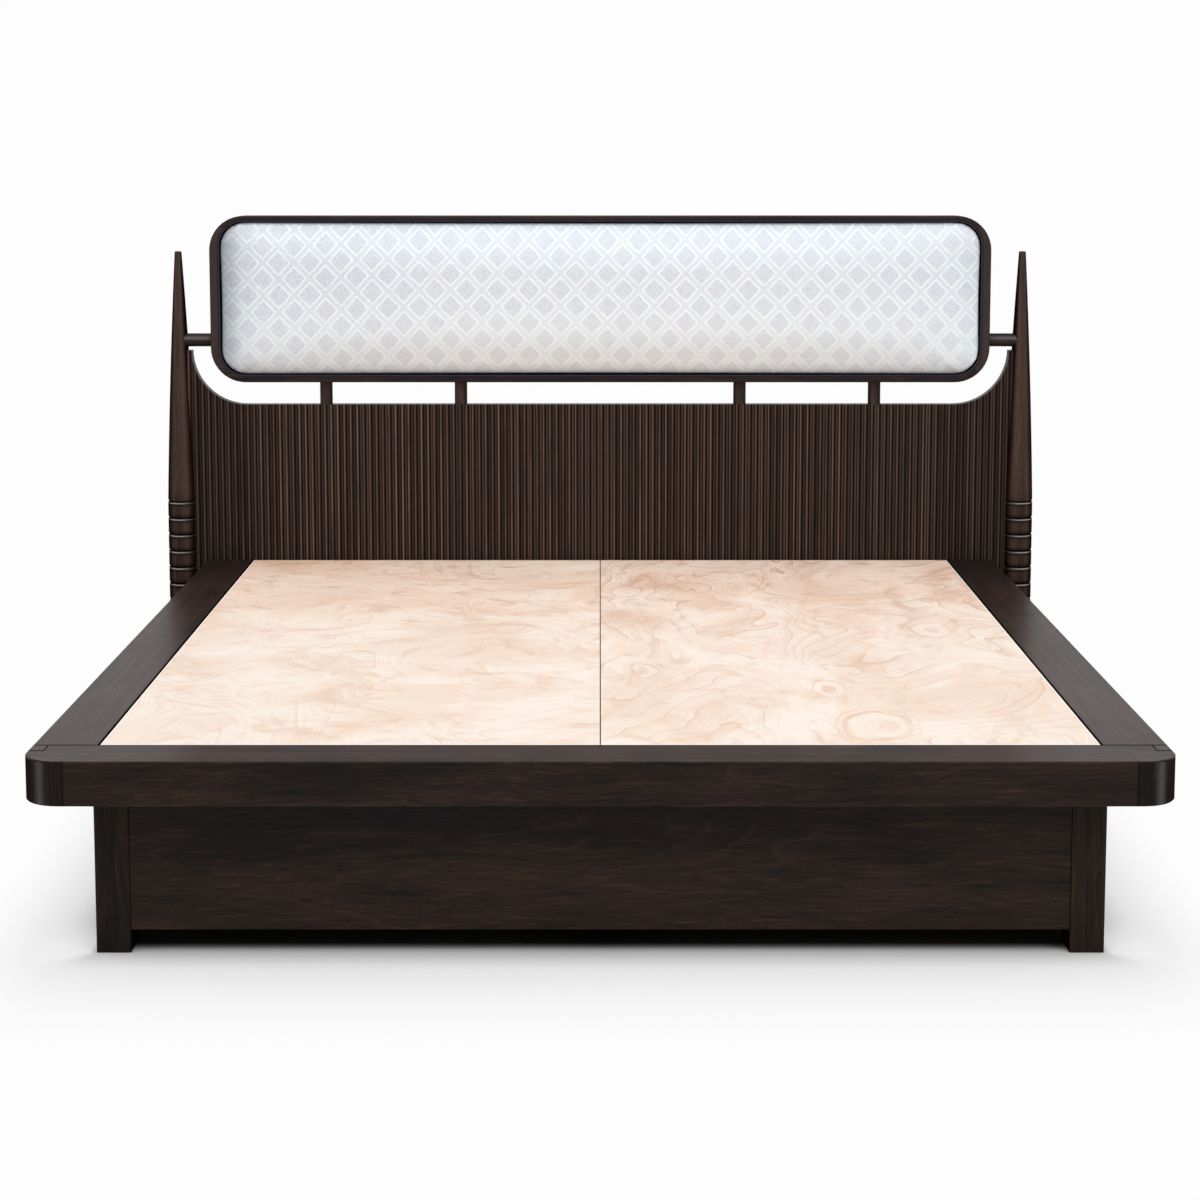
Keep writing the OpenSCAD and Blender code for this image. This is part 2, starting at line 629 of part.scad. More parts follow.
// A steel plate that carries the lid's pivot and the strut's lower stud
module lift_plate_right() color(steel) translate([plate_x, 0, 0]) difference() {
    along_x(plate_t) {
        polygon([
            [lower_y - plate_foot, plate_z], [lower_y + plate_head, plate_z],
            [pivot_y - plate_bolt_in, rail_z - tube / 2],
            [pivot_y + lug_end_r - 1, pivot_z - 4], [pivot_y, pivot_z], [pivot_y - lug_end_r, pivot_z],
            [pivot_y - plate_foot, rail_z - tube / 3], [lower_y - plate_foot, lower_z + plate_foot]]);
        translate([pivot_y, pivot_z]) circle(lug_end_r);
    }
    translate([0, lower_y, lower_z]) rod_x(-1, plate_t + 1, stud_d + 2 * fit_gap);
    translate([0, pivot_y, pivot_z]) rod_x(-1, plate_t + 1, pivot_d + 2 * fit_gap);
    translate([-plate_x, 0, 0]) at_plate_bolts() rod_x(plate_x - 1, panel_in_x + 1, plate_bolt_hole);
}
module lift_plate_left() left() lift_plate_right();

module at_plate_bolts() for (p = plate_bolt_places) translate([0, p[0], p[1]]) children();
module plate_bolts() color(zinc) both() at_plate_bolts() {
    rod_x(plate_x - 1, panel_in_x + plate_bolt_reach, plate_bolt_d);
    translate([plate_x - bolt_head + 1, 0, 0]) rotate([0, 90, 0])
        cylinder(h = bolt_head - 1, d = plate_bolt_d * 1.9, $fn = 6);
}

// Pins from the plates through the lugs: a wide boss, the pin and its nut
module pivot_pins() color(zinc) both() translate([0, pivot_y, pivot_z]) {
    rod_x(side_tube_out - part_gap - pivot_nut - 1, panel_in_x, pivot_d);
    rod_x(side_tube_out + lug_t + part_gap, plate_x, 2 * pivot_d);
    translate([side_tube_out - part_gap - pivot_nut, 0, 0]) rotate([0, 90, 0])
        cylinder(h = pivot_nut, d = pivot_d * 1.75, $fn = 6);
}

module lower_strut_studs() color(zinc) both() translate([0, lower_y, lower_z]) {
    rod_x(strut_x - eye_w / 2 - part_gap, panel_in_x, stud_d);
    rod_x(strut_x + eye_w / 2 + part_gap, plate_x, 2 * stud_d);
    rod_x(strut_x - eye_w / 2 - part_gap - stud_cap, strut_x - eye_w / 2 - part_gap, 1.75 * stud_d);
}

// The struts, drawn upright from their lower eye and then tilted into place

module strut_frame() translate([strut_x, lower_y, lower_z]) rotate([strut_angle / 2, 0, 0]) children();
module eye(z) translate([0, 0, z]) rod_x(-eye_w / 2, eye_w / 2, eye_d);
module eye_hole(z) translate([0, 0, z]) rod_x(-eye_w, eye_w, stud_d + 2 * run);
module strut_barrel_right() color(steel) strut_frame() difference() {
    union() {
        eye(0);
        translate([0, 0, barrel_start]) cylinder(h = barrel_l, d = barrel_d);
    }
    eye_hole(0);
    translate([0, 0, barrel_start + barrel_floor])
        cylinder(h = barrel_l - barrel_floor - gland_l, d = barrel_d - 2 * barrel_wall);
    translate([0, 0, barrel_start + barrel_floor]) cylinder(h = barrel_l, d = rod_d + 2 * run);
}
module strut_barrel_left() left() strut_barrel_right();

module strut_rod_right() color(zinc) strut_frame() difference() {
    union() {
        eye(strut_l);
        translate([0, 0, piston_at]) cylinder(h = strut_l - piston_at - stud_d, d = rod_d);
        translate([0, 0, piston_at]) cylinder(h = piston_l, d = barrel_d - 2 * barrel_wall - 4 * run);
    }
    eye_hole(strut_l);
}
module strut_rod_left() left() strut_rod_right();

// The lid: two boards on a steel frame

module deck_board_right() color(plywood) difference() {
    block([board_gap / 2, board_foot_y, board_z], [inner_x - board_gap, board_head_y, deck_z]);
    at_board_screws() translate([0, 0, board_z - 1]) cylinder(h = screw_reach + 2, d = screw_hole);
}
module deck_board_left() left() deck_board_right();

module tube_section(w) difference() {
    rounded(w, tube, tube_r, $fn = 32);
    rounded(w - 2 * tube_wall, tube - 2 * tube_wall, tube_r - tube_wall / 2, $fn = 32);
}
module tube_y(x, y0, y1, w = tube) difference() {
    translate([x, y0, tube_z + tube / 2]) along_y(y1 - y0) tube_section(w);
    both() at_board_screws() translate([0, 0, tube_z - 1]) cylinder(h = tube + 2, d = screw_hole);
}
module tube_x(x0, x1, y)
    translate([x0, y + tube / 2, tube_z + tube / 2]) along_x(x1 - x0) tube_section(tube);

module side_tube_right() color(steel) tube_y(side_tube_x, foot_tube_y, side_tube_end_y);
module side_tube_left() left() side_tube_right();
module foot_tube() color(steel) tube_x(-side_tube_face, side_tube_face, foot_tube_y);
module head_tube() color(steel) tube_x(-side_tube_face, side_tube_face, head_tube_y);
module centre_tube() color(steel) tube_y(0, foot_tube_y + tube, head_tube_y, centre_tube_w);
module cross_tubes() color(steel) both() for (i = [1 : cross_count])
    tube_x(centre_tube_w / 2, side_tube_face,
        foot_tube_y + (head_tube_y - foot_tube_y) * i / (cross_count + 1));

module hinge_lug_right() color(steel) translate([side_tube_out, 0, 0]) difference() {
    along_x(lug_t) {
        translate([pivot_y - lug_l, pivot_z - lug_end_r]) square([lug_l, 2 * lug_end_r]);
        translate([pivot_y, pivot_z]) circle(lug_end_r);
    }
    translate([0, pivot_y, pivot_z]) rod_x(-1, lug_t + 1, pivot_d + 2 * run);
}
module hinge_lug_left() left() hinge_lug_right();

module upper_strut_studs() color(zinc) both() translate([0, upper_y, upper_z]) {
    rod_x(side_tube_out, strut_x + eye_w / 2 + part_gap + 1, stud_d);
    rod_x(side_tube_out, strut_x - eye_w / 2 - part_gap, 2 * stud_d);
    rod_x(strut_x + eye_w / 2 + part_gap, strut_x + eye_w / 2 + part_gap + stud_cap, 1.75 * stud_d);
}

module at_board_screws()
    for (x = [centre_tube_w / 4, side_tube_x], y = screw_ys) translate([x, y, 0]) children();
module board_screws() color(zinc) both() at_board_screws() {
    translate([0, 0, tube_z - screw_head]) cylinder(h = screw_head, d = 2 * screw_d);
    translate([0, 0, tube_z - screw_head]) cylinder(h = screw_head + tube + screw_reach, d = screw_d);
}

front_rail();
side_rail_left();
side_rail_right();
corner_block_left();
corner_block_right();
front_panel();
side_panel_left();
side_panel_right();
front_leg_left();
front_leg_right();
rear_leg_left();
rear_leg_right();
centre_partition();
centre_legs();
floor_board_left();
floor_board_right();
floor_battens();
foot_ledge();
side_ledge_left();
side_ledge_right();
rest_pads();
headboard_backing();
fluted_facing();
post_left();
post_right();
cross_bar_left();
cross_bar_right();
support_dowels();
cushion_frame();
cushion_backer();
cushion_piping();
headboard_cushion();
bed_bolts();
lift_plate_left();
lift_plate_right();
plate_bolts();
pivot_pins();
lower_strut_studs();
deck_board_left();
deck_board_right();
side_tube_left();
side_tube_right();
foot_tube();
head_tube();
centre_tube();
cross_tubes();
hinge_lug_left();
hinge_lug_right();
upper_strut_studs();
board_screws();
strut_barrel_left();
strut_barrel_right();
strut_rod_left();
strut_rod_right();
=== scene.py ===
import math

import bpy
import numpy as np
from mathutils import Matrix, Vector


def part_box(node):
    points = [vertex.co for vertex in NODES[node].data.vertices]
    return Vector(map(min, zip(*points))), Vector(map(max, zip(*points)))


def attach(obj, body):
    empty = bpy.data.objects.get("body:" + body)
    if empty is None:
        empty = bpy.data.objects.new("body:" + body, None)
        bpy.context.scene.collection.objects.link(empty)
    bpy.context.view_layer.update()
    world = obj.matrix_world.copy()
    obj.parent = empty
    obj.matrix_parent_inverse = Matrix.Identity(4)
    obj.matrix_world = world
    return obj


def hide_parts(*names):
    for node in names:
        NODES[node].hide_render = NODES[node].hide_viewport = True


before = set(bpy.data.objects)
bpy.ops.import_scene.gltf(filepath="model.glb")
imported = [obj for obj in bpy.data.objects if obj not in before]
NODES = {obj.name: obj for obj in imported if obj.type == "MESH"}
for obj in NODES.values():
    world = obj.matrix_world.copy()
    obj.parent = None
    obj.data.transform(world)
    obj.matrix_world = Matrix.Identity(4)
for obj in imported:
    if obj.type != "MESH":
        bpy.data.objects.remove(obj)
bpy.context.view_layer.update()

# The looks of a storage bed: one finish for each kind of part, cloth for the head cushion, a white floor,
# soft lamps and the camera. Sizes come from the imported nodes, in metres, with the foot towards -Y.


# Shader sums

class Wire:
    """What a node gives out. A sum written with it adds the Math node for that sum."""

    def __init__(self, finish, socket):
        self.finish, self.socket = finish, socket

    def __add__(self, other):
        return self.finish.sum("ADD", self, other)

    def __sub__(self, other):
        return self.finish.sum("SUBTRACT", self, other)

    def __rsub__(self, other):
        return self.finish.sum("SUBTRACT", other, self)

    def __mul__(self, other):
        return self.finish.sum("MULTIPLY", self, other)

    def __truediv__(self, other):
        return self.finish.sum("DIVIDE", self, other)

    def __pow__(self, other):
        return self.finish.sum("POWER", self, other)

    def __abs__(self):
        return self.finish.sum("ABSOLUTE", self)

    __radd__ = __add__
    __rmul__ = __mul__


class Finish:
    """A node tree of the bed's: one finish, or the room around it."""

    def __init__(self, tree):
        self.tree = tree
        tree.nodes.clear()

    def node(self, kind, settings=(), sockets=(), out=0):
        made = self.tree.nodes.new(kind)
        for key, value in dict(settings).items():
            setattr(made, key, value)
        for key, value in dict(sockets).items():
            if isinstance(value, Wire):
                self.tree.links.new(value.socket, made.inputs[key])
            else:
                made.inputs[key].default_value = value
        return Wire(self, made.outputs[out]) if made.outputs else made

    def sum(self, operation, *values):
        return self.node("ShaderNodeMath", {"operation": operation}, enumerate(values))

    def place(self):
        """X, Y and Z in the bed's own frame, in metres."""
        spot = self.node("ShaderNodeTexCoord", out=3)
        return [self.node("ShaderNodeSeparateXYZ", (), {0: spot}, axis) for axis in range(3)]

    def noise(self, x, y, z, detail=2.0, rough=0.5, bend=0.0):
        spot = self.node("ShaderNodeCombineXYZ", (), {0: x, 1: y, 2: z})
        return self.node("ShaderNodeTexNoise", (), {
            "Vector": spot, "Scale": 1.0, "Detail": detail, "Roughness": rough, "Distortion": bend})

    def most(self, *values):
        """The greatest of the values."""
        found = values[0]
        for value in values[1:]:
            found = self.sum("MAXIMUM", found, value)
        return found

    def bell(self, value, at, reach):
        """1 where value is at, falling off smoothly on both sides, to about a third at reach."""
        off = (value - at) / reach
        return self.sum("EXPONENT", off * off * -1.0)

    def rise(self, value, low, high):
        """0 up to low and 1 from high on, with a smooth step between."""
        return self.node("ShaderNodeMapRange", {"interpolation_type": "SMOOTHSTEP"},
                         {0: value, 1: low, 2: high, 3: 0.0, 4: 1.0})

    def line(self, value, at, half):
        """1 on a thin line where value is at, and 0 from half a width away."""
        return 1 - self.rise(abs(value - at), half * 0.4, half)

    def blend(self, factor, first, second):
        paint = [c if isinstance(c, Wire) else (*c, 1.0) for c in (first, second)]
        return self.node("ShaderNodeMix", {"data_type": "RGBA", "clamp_factor": True},
                         {0: factor, 6: paint[0], 7: paint[1]}, 2)

    def relief(self, height, depth, strength=1.0):
        return self.node("ShaderNodeBump", (), {
            "Height": height, "Distance": depth, "Strength": strength})


class Skin(Finish):
    """A material of the bed. surface() closes it with one shader."""

    def __init__(self, name):
        self.material = bpy.data.materials.new(name)
        self.material.use_nodes = True
        super().__init__(self.material.node_tree)

    def surface(self, colour, roughness, normal=None, gap=None, **plain):
        """gap is a mask of the places where the surface drops into a dark joint."""
        sockets = {"Base Color": colour, "Roughness": roughness}
        sockets.update({key.replace("_", " "): value for key, value in plain.items()})
        if normal:
            sockets["Normal"] = normal
        shader = self.node("ShaderNodeBsdfPrincipled", (), sockets)
        if gap:
            dark = self.node("ShaderNodeBsdfDiffuse", (), {"Color": (*GAP, 1.0)})
            shader = self.node("ShaderNodeMixShader", (), {0: gap, 1: shader, 2: dark})
        self.node("ShaderNodeOutputMaterial", (), {0: shader})
        return self.material


# Where things are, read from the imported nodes

def corners(node):
    return [tuple(corner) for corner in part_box(node)]


RAIL_LOW, RAIL_HIGH = corners("front_rail")
SIDE_LOW, SIDE_HIGH = corners("side_rail_right")
BLOCK_LOW, BLOCK_HIGH = corners("corner_block_right")
LEG_LOW, LEG_HIGH = corners("front_leg_right")
POST_LOW, POST_HIGH = corners("post_right")
HOOP_LOW, HOOP_HIGH = corners("cushion_frame")
BOARD_LOW, BOARD_HIGH = corners("deck_board_right")
BAR_LOW, BAR_HIGH = corners("cross_bar_right")
DOWEL_LOW, DOWEL_HIGH = corners("support_dowels")
FOOT_Y = RAIL_LOW[1]
BACKING_Y = corners("headboard_backing")[0][1]
MIDDLE_Y = (LEG_LOW[1] + BACKING_Y) / 2
RIM_X = SIDE_HIGH[0]
POST_X = (POST_LOW[0] + POST_HIGH[0]) / 2
HOOP_MID_Z = (HOOP_LOW[2] + HOOP_HIGH[2]) / 2
BAR_R = (BAR_HIGH[2] - BAR_LOW[2]) / 2
BAR_Z = (BAR_LOW[2] + BAR_HIGH[2]) / 2
DOWEL_R = (DOWEL_HIGH[1] - DOWEL_LOW[1]) / 2

# Sizes that no box shows. The dowels stand at two shares of the cushion frame's half width.
CORNER_R = 0.070
TONGUE_W = 0.029
HALF_JOINT = 0.00015
HOOP_R = 0.09
PIPING_D = 0.005
REED_PITCH = 0.0169
POST_R, POST_TAPER = 0.0385, 0.043
RING_TOP_Z, RING_PITCH, RINGS = 0.545, 0.0435, 11
DOWEL_SHARES = (0.36, 0.708)
DOWEL_OUT = DOWEL_HIGH[0] - DOWEL_R
DOWEL_IN = DOWEL_OUT * DOWEL_SHARES[0] / DOWEL_SHARES[1]
SEAM_BLOCK = BLOCK_LOW[0] - HALF_JOINT
SEAM_TONGUE = RIM_X - TONGUE_W - HALF_JOINT
SEAM_BLOCK_Y = BLOCK_HIGH[1] + HALF_JOINT

# The rim's joints, on the +X side: axis, place, half width, strength, and the stretch along another axis
FRONT_SEAM = ("X", SEAM_BLOCK, 0.0015, 0.55, "Y", FOOT_Y - 0.01, FOOT_Y + 0.003)
TONGUE_SIDE = ("X", SEAM_TONGUE, 0.0024, 0.85, "Y", SEAM_BLOCK_Y, RAIL_HIGH[1])
TONGUE_FOOT = ("Y", SEAM_BLOCK_Y, 0.0046, 0.85, "X", SEAM_TONGUE, RIM_X)
RAIL_END = ("Y", RAIL_HIGH[1], 0.0046, 0.9, "X", -1.0, RIM_X)
BOARD_SIDE = ("X", SIDE_LOW[0], 0.0056, 1.0, "Z", RAIL_LOW[2], RAIL_HIGH[2] + 0.01)
RAIL_SEAMS = [FRONT_SEAM, TONGUE_SIDE, RAIL_END]
SIDE_SEAMS = [TONGUE_SIDE, TONGUE_FOOT, RAIL_END, BOARD_SIDE]
BLOCK_SEAMS = [FRONT_SEAM, TONGUE_FOOT]
LEG_SEAMS = [("X", LEG_LOW[0], 0.0016, 0.8, "Z", 0.0, LEG_HIGH[2])]


# Walnut, stained nearly black

DEEP_STAIN_AND_SHADE = (0.0062, 0.0054, 0.0056)
STAIN_DARK = (0.0132, 0.0106, 0.0104)
STAIN_WARM = (0.0330, 0.0195, 0.0145)
STAIN_STREAK = (0.0620, 0.0325, 0.0235)
STAIN_WORN = (0.1200, 0.0780, 0.0580)
STAIN_RUBBED = (0.0720, 0.0370, 0.0300)
CORNER_HIGHLIGHT = (0.0980, 0.0920, 0.0940)
POST_SHADE = (0.0070, 0.0036, 0.0024)
POST_HIGHLIGHT = (0.1100, 0.0800, 0.0720)
POST_PALE = (0.0960, 0.0550, 0.0430)
POST_INNER_SHADE = (0.0046, 0.0024, 0.0016)
POST_OUTER_SHADE = (0.0080, 0.0042, 0.0030)
POST_GROOVE_SHADE = (0.0070, 0.0040, 0.0030)
POST_SHOULDER_HIGHLIGHT = (0.4600, 0.4100, 0.3900)
REED_STAIN = (0.0300, 0.0215, 0.0180)
REED_CREST_HIGHLIGHT = (0.1900, 0.1120, 0.0800)
REED_FLANK_HIGHLIGHT = (0.1200, 0.0820, 0.0720)
REED_VALLEY_SHADE = (0.0060, 0.0042, 0.0036)
REED_SHADE = (0.0080, 0.0050, 0.0042)
HOOP_PALE = (0.0720, 0.0540, 0.0480)
ROUND_HIGHLIGHT = (0.2100, 0.1800, 0.1900)
ROUND_SIDE_SHADE = (0.0046, 0.0028, 0.0022)
GAP = (0.0020, 0.0017, 0.0016)
SATIN = {"Specular_IOR_Level": 0.055}


def lighter(stain, light):
    return tuple(part * light for part in stain)


def mirrored(skin, seed):
    """The frame's axes with X counted outwards on both sides, and a shift that keeps the grain apart."""
    x, y, z = skin.place()
    return abs(x), y, z, skin.sum("SIGN", x) * 3.7 + seed


def grain(skin, run, across, deep, figure=1.0, light=1.0, warmth=0.0, short=1.0):
    """Colour, fine height and roughness of stained walnut whose fibres follow run. short is how much
    shorter than usual its fine streaks are."""
    drift = (skin.noise(run * 4.5, across * 9.0, deep * 9.0, 1.0) - 0.5) * 0.030
    across, deep = across + drift, deep + drift
    zones = skin.noise(run * 2.6, across * 9.0, deep * 9.0, 2.0, 0.5, 0.6)
    bands = skin.noise(run * 2.4, across * 46.0, deep * 46.0, 3.0, 0.6, 0.5)
    streaks = skin.noise(run * (7.0 * short), across * 250.0, deep * 250.0, 3.0, 0.65, 0.3)
    pores = skin.noise(run * (70.0 * short), across * 640.0, deep * 640.0, 2.0, 0.6)
    swirl = skin.noise(run * 0.55, across * 4.4, deep * 4.4, 2.0, 0.45, 0.3)
    arches = skin.sum("FRACT", swirl * (22.0 * figure) + bands * 0.30)
    tone = skin.rise(zones * 0.5 + bands * 0.5 + warmth, 0.32, 0.70)
    colour = skin.blend(tone, lighter(STAIN_DARK, light), lighter(STAIN_WARM, light))
    streak = lighter(STAIN_STREAK, light)
    colour = skin.blend((arches ** 8) * skin.rise(zones, 0.36, 0.60) * 0.40, colour, streak)
    colour = skin.blend(skin.rise(streaks, 0.54, 0.68) * (0.16 + tone * 0.60), colour, streak)
    dark = skin.rise(pores, 0.52, 0.72) * 0.40 + (1 - skin.rise(streaks, 0.32, 0.46)) * 0.50
    colour = skin.blend(dark, colour, lighter(DEEP_STAIN_AND_SHADE, light))
    height = streaks * 0.4 + pores * 0.6
    return colour, height, 0.22 + streaks * 0.12 + pores * 0.08


def handled(skin, colour, height, spots, top_z, run, across):
    """Colour of the rim's top face, and a mask of where its sheen is dulled. The face is rubbed a little
    paler and redder than the sides, in clouds and most at the foot, and painted shade darkens it at the
    head. Fine lines follow the fibres."""
    x, y, z = spots
    clouds = skin.rise(skin.noise(x * 7.0, y * 4.0, 1.0, 3.0, 0.6, 1.0), 0.30, 0.70)
    lines = skin.rise(skin.noise(run * 1.3, across * 110.0, 2.0, 3.0, 0.6, 0.4), 0.44, 0.66)
    streaks = skin.rise(height, 0.50, 0.60)
    flecks = skin.rise(skin.noise(run * 9.0, across * 44.0, 6.0, 4.0, 0.68, 0.9), 0.52, 0.70)
    rubbed = (clouds * 0.28 + lines * 0.46 + streaks * 0.12 + flecks * 0.36) * (
        1 - skin.rise(y, -0.8, 0.9) * 0.75)
    on_top = skin.rise(z, top_z - 0.002, top_z - 0.0006)
    colour = skin.blend(on_top * rubbed, colour, STAIN_RUBBED)
    # Painted shade on the top face towards the head
    colour = skin.blend(on_top * skin.rise(y, 0.55, 0.95) * 0.42, colour, DEEP_STAIN_AND_SHADE)
    return colour, on_top * ((1 - flecks) * 0.045 + (1 - lines) * 0.030 + (1 - clouds) * 0.020)


def joint(skin, spots, axis, place, half, strength, other, low, high):
    """A tight joint at a place on one axis, over a stretch of another."""
    ends = skin.rise(spots[other], low - 0.0005, low) - skin.rise(spots[other], high, high + 0.0005)
    return skin.line(spots[axis], place, half) * ends * strength


def walnut(name, along, box=None, seams=(), seed=0.0, figure=1.0, light=1.0, warmth=0.0,
           warm_below=None, top_z=None, sheen=0.055):
    """Walnut with its fibres along one axis. box is the piece's low and high corner on the +X side, whose
    edges are rubbed a little lighter. seams are its tight joints. Below warm_below the stain is warmer.
    top_z is the height of the rim's rubbed top face, where the piece has one."""
    skin = Skin(name)
    x, y, z, shift = mirrored(skin, seed)
    run, across, deep = {"X": (x, y, z), "Y": (y, z, x), "Z": (z, x, y)}[along]
    if along == "X":
        run, shift = skin.place()[0], seed
    if warm_below:
        ragged = z + skin.noise(run * 3.0, 0.0, 4.0, 2.0) * 0.05
        warmth = 0.07 - skin.rise(ragged, warm_below, warm_below + 0.07) * 0.14
    colour, height, rough = grain(
        skin, run + shift, across + shift, deep, figure, light, warmth, short=1.9)
    spots = {"X": x, "Y": y, "Z": z}
    gaps = [joint(skin, spots, *seam) for seam in seams]
    if top_z:
        colour, dulled = handled(skin, colour, height, (x, y, z), top_z, run, y if along == "X" else x)
        gaps.append(dulled)
    if box:
        depths = [skin.sum("MINIMUM", spot - low, high - spot)
                  for spot, low, high in zip((x, y, z), box[0], box[1])]
        edge = depths[0] + depths[1] + depths[2] - skin.most(*depths)
        rubbed = (1 - skin.rise(edge, 0.0005, 0.004)) * skin.rise(
            skin.noise(x * 30.0, y * 30.0, z * 30.0, 3.0), 0.35, 0.7)
        colour = skin.blend(rubbed * 0.2, colour, STAIN_WORN)
    gap = skin.most(*gaps) if gaps else None
    return skin.surface(colour, rough, skin.relief(height, 0.0003, 0.4), gap, Specular_IOR_Level=sheen)


def corner_walnut():
    """Corner block: half way round its round corner runs a painted highlight, where the surface is also a
    little smoother.
    """
    skin = Skin("walnut_corner_blocks")
    x, y, z, shift = mirrored(skin, 5.2)
    colour, height, rough = grain(skin, z + shift, x + shift, y, light=0.75, warmth=-0.08)
    turn = (x - (RIM_X - CORNER_R)) / CORNER_R
    upright = 1 - skin.rise(z, RAIL_HIGH[2] - 0.004, RAIL_HIGH[2] - 0.0015)
    # A painted highlight half way round the round corner, kept off the top face
    rubbed = skin.bell(turn, 0.48, 0.12) * upright * skin.rise(turn, 0.05, 0.25)
    colour = skin.blend(rubbed * 0.72, colour, CORNER_HIGHLIGHT)
    colour, dulled = handled(skin, colour, height, (x, y, z), RAIL_HIGH[2], x, y)
    lacquer = skin.most(1 - upright, 1 - skin.rise(turn, 0.20, 0.40))
    spots = {"X": x, "Y": y, "Z": z}
    gap = skin.most(dulled, *[joint(skin, spots, *seam) for seam in BLOCK_SEAMS])
    return skin.surface(colour, rough - rubbed * 0.08, skin.relief(height, 0.0002, 0.35), gap,
                        Specular_IOR_Level=0.0, Coat_Weight=lacquer, Coat_Roughness=0.28, Coat_IOR=1.135)


def reeded():
    """Reeds cut from many strips: each has its own tone, two painted highlights along its crest with
    painted shade between them, and painted shade in the valleys and towards the posts.
    """
    skin = Skin("walnut_reeds")
    x, y, z = skin.place()
    count = x / REED_PITCH + 0.5
    strip = skin.sum("FLOOR", count)
    across = skin.sum("FRACT", count) - 0.5
    own, other, third = (
        skin.node("ShaderNodeTexWhiteNoise", {"noise_dimensions": "1D"}, {"W": strip + part})
        for part in (0.0, 0.37, 0.71))
    colour, height, rough = grain(skin, z + own * 9.0, x, y + own * 5.0, short=0.45)
    colour = skin.blend(own * 0.35 + 0.2, colour, REED_STAIN)
    wander = skin.noise(strip * 0.61, z * 1.6, own * 3.0, 2.0)
    along = skin.rise(wander * 0.6 + skin.noise(strip, z * 6.0, 0.3, 3.0) * 0.4, 0.30, 0.62)
    # Two painted highlights along each reed's crest, of varying strength
    crest = skin.line(across + (other - 0.5) * 0.12, 0.19, 0.15)
    colour = skin.blend(crest * (0.2 + along * (0.25 + own * 0.6)), colour, REED_CREST_HIGHLIGHT)
    second = skin.line(across + (third - 0.5) * 0.12, -0.24, 0.18)
    colour = skin.blend(second * (0.1 + other * other * 0.55), colour, REED_FLANK_HIGHLIGHT)
    # Painted shade between the two highlights and in the valleys between the reeds
    between = skin.line(across, -0.02, 0.13) * 0.7 + skin.rise(abs(across), 0.38, 0.46) * 0.9
    colour = skin.blend(between, colour, REED_VALLEY_SHADE)
    # Painted shade towards the posts
    colour = skin.blend(skin.rise(abs(x), 0.82, 1.03) * 0.32, colour, REED_SHADE)
    return skin.surface(colour, rough + 0.1, skin.relief(height, 0.0003, 0.5), **SATIN)


def turned():
    """Post: upright fibres, with painted shade by the groove of each turned ring and a painted highlight
    along its shoulder. The plain upper part is paler and the ringed part darker; painted shade darkens the
    lower rings and the two sides, and two soft painted highlights run up it."""
    skin = Skin("walnut_posts")
    x, y, z, shift = mirrored(skin, 2.3)
    colour, height, rough = grain(skin, z + shift, x, y, figure=1.3, light=1.9, warmth=0.06)
    upper = skin.rise(z, RING_TOP_Z, RING_TOP_Z + 0.04)
    # Darker over the rings and paler above them
    colour = skin.blend((1 - upper) * 0.22, colour, POST_SHADE)
    colour = skin.blend(upper * 0.16, colour, POST_PALE)
    # Painted shade on the lowest rings, near the deck
    colour = skin.blend((1 - skin.rise(z, 0.33, 0.43)) * 0.30, colour, POST_SHADE)
    radius = POST_R - skin.most(z - RING_TOP_Z, 0.0) * POST_TAPER
    turn = (x - POST_X) / radius
    # Two painted highlights up the post
    for at, reach, share in ((0.50, 0.14, 0.20), (-0.36, 0.24, 0.26)):
        colour = skin.blend(skin.bell(turn, at, reach) * share, colour, POST_HIGHLIGHT)
    # Painted shade along the inner and outer sides
    inner, outer = 1 - skin.rise(turn, -0.88, -0.44), skin.rise(turn, 0.46, 0.86)
    colour = skin.blend(inner * 0.95, colour, POST_INNER_SHADE)
    colour = skin.blend(outer * 0.78, colour, POST_OUTER_SHADE)
    lacquer = (1 - inner) * (1 - outer) * 0.25
    step = skin.sum("FRACT", (z - (RING_TOP_Z - RINGS * RING_PITCH)) / RING_PITCH)
    ringed = (1 - skin.rise(z, RING_TOP_Z, RING_TOP_Z + 0.002)) * skin.rise(z, 0.064, 0.067)
    # A painted highlight along each ring's shoulder
    facing = skin.rise(turn, -0.80, 0.15) * (1 - skin.rise(turn, 0.50, 0.92) * 0.75)
    shoulder = skin.line(step, 0.885, 0.042) * ringed
    colour = skin.blend(shoulder * (0.06 + facing * 0.72), colour, POST_SHOULDER_HIGHLIGHT)
    # Painted shade on each ring, just above its groove and just below its shoulder
    shade = skin.most(skin.line(step, 0.78, 0.12), skin.line(step, 0.10, 0.14)) * ringed
    colour = skin.blend(shade * 0.5, colour, POST_GROOVE_SHADE)
    groove = skin.rise(abs(step - 0.5), 0.436, 0.468) * ringed
    return skin.surface(colour, rough, skin.relief(height, 0.0003, 0.4), groove,
                        Specular_IOR_Level=0.0, Coat_Weight=lacquer, Coat_Roughness=0.3, Coat_IOR=1.135)


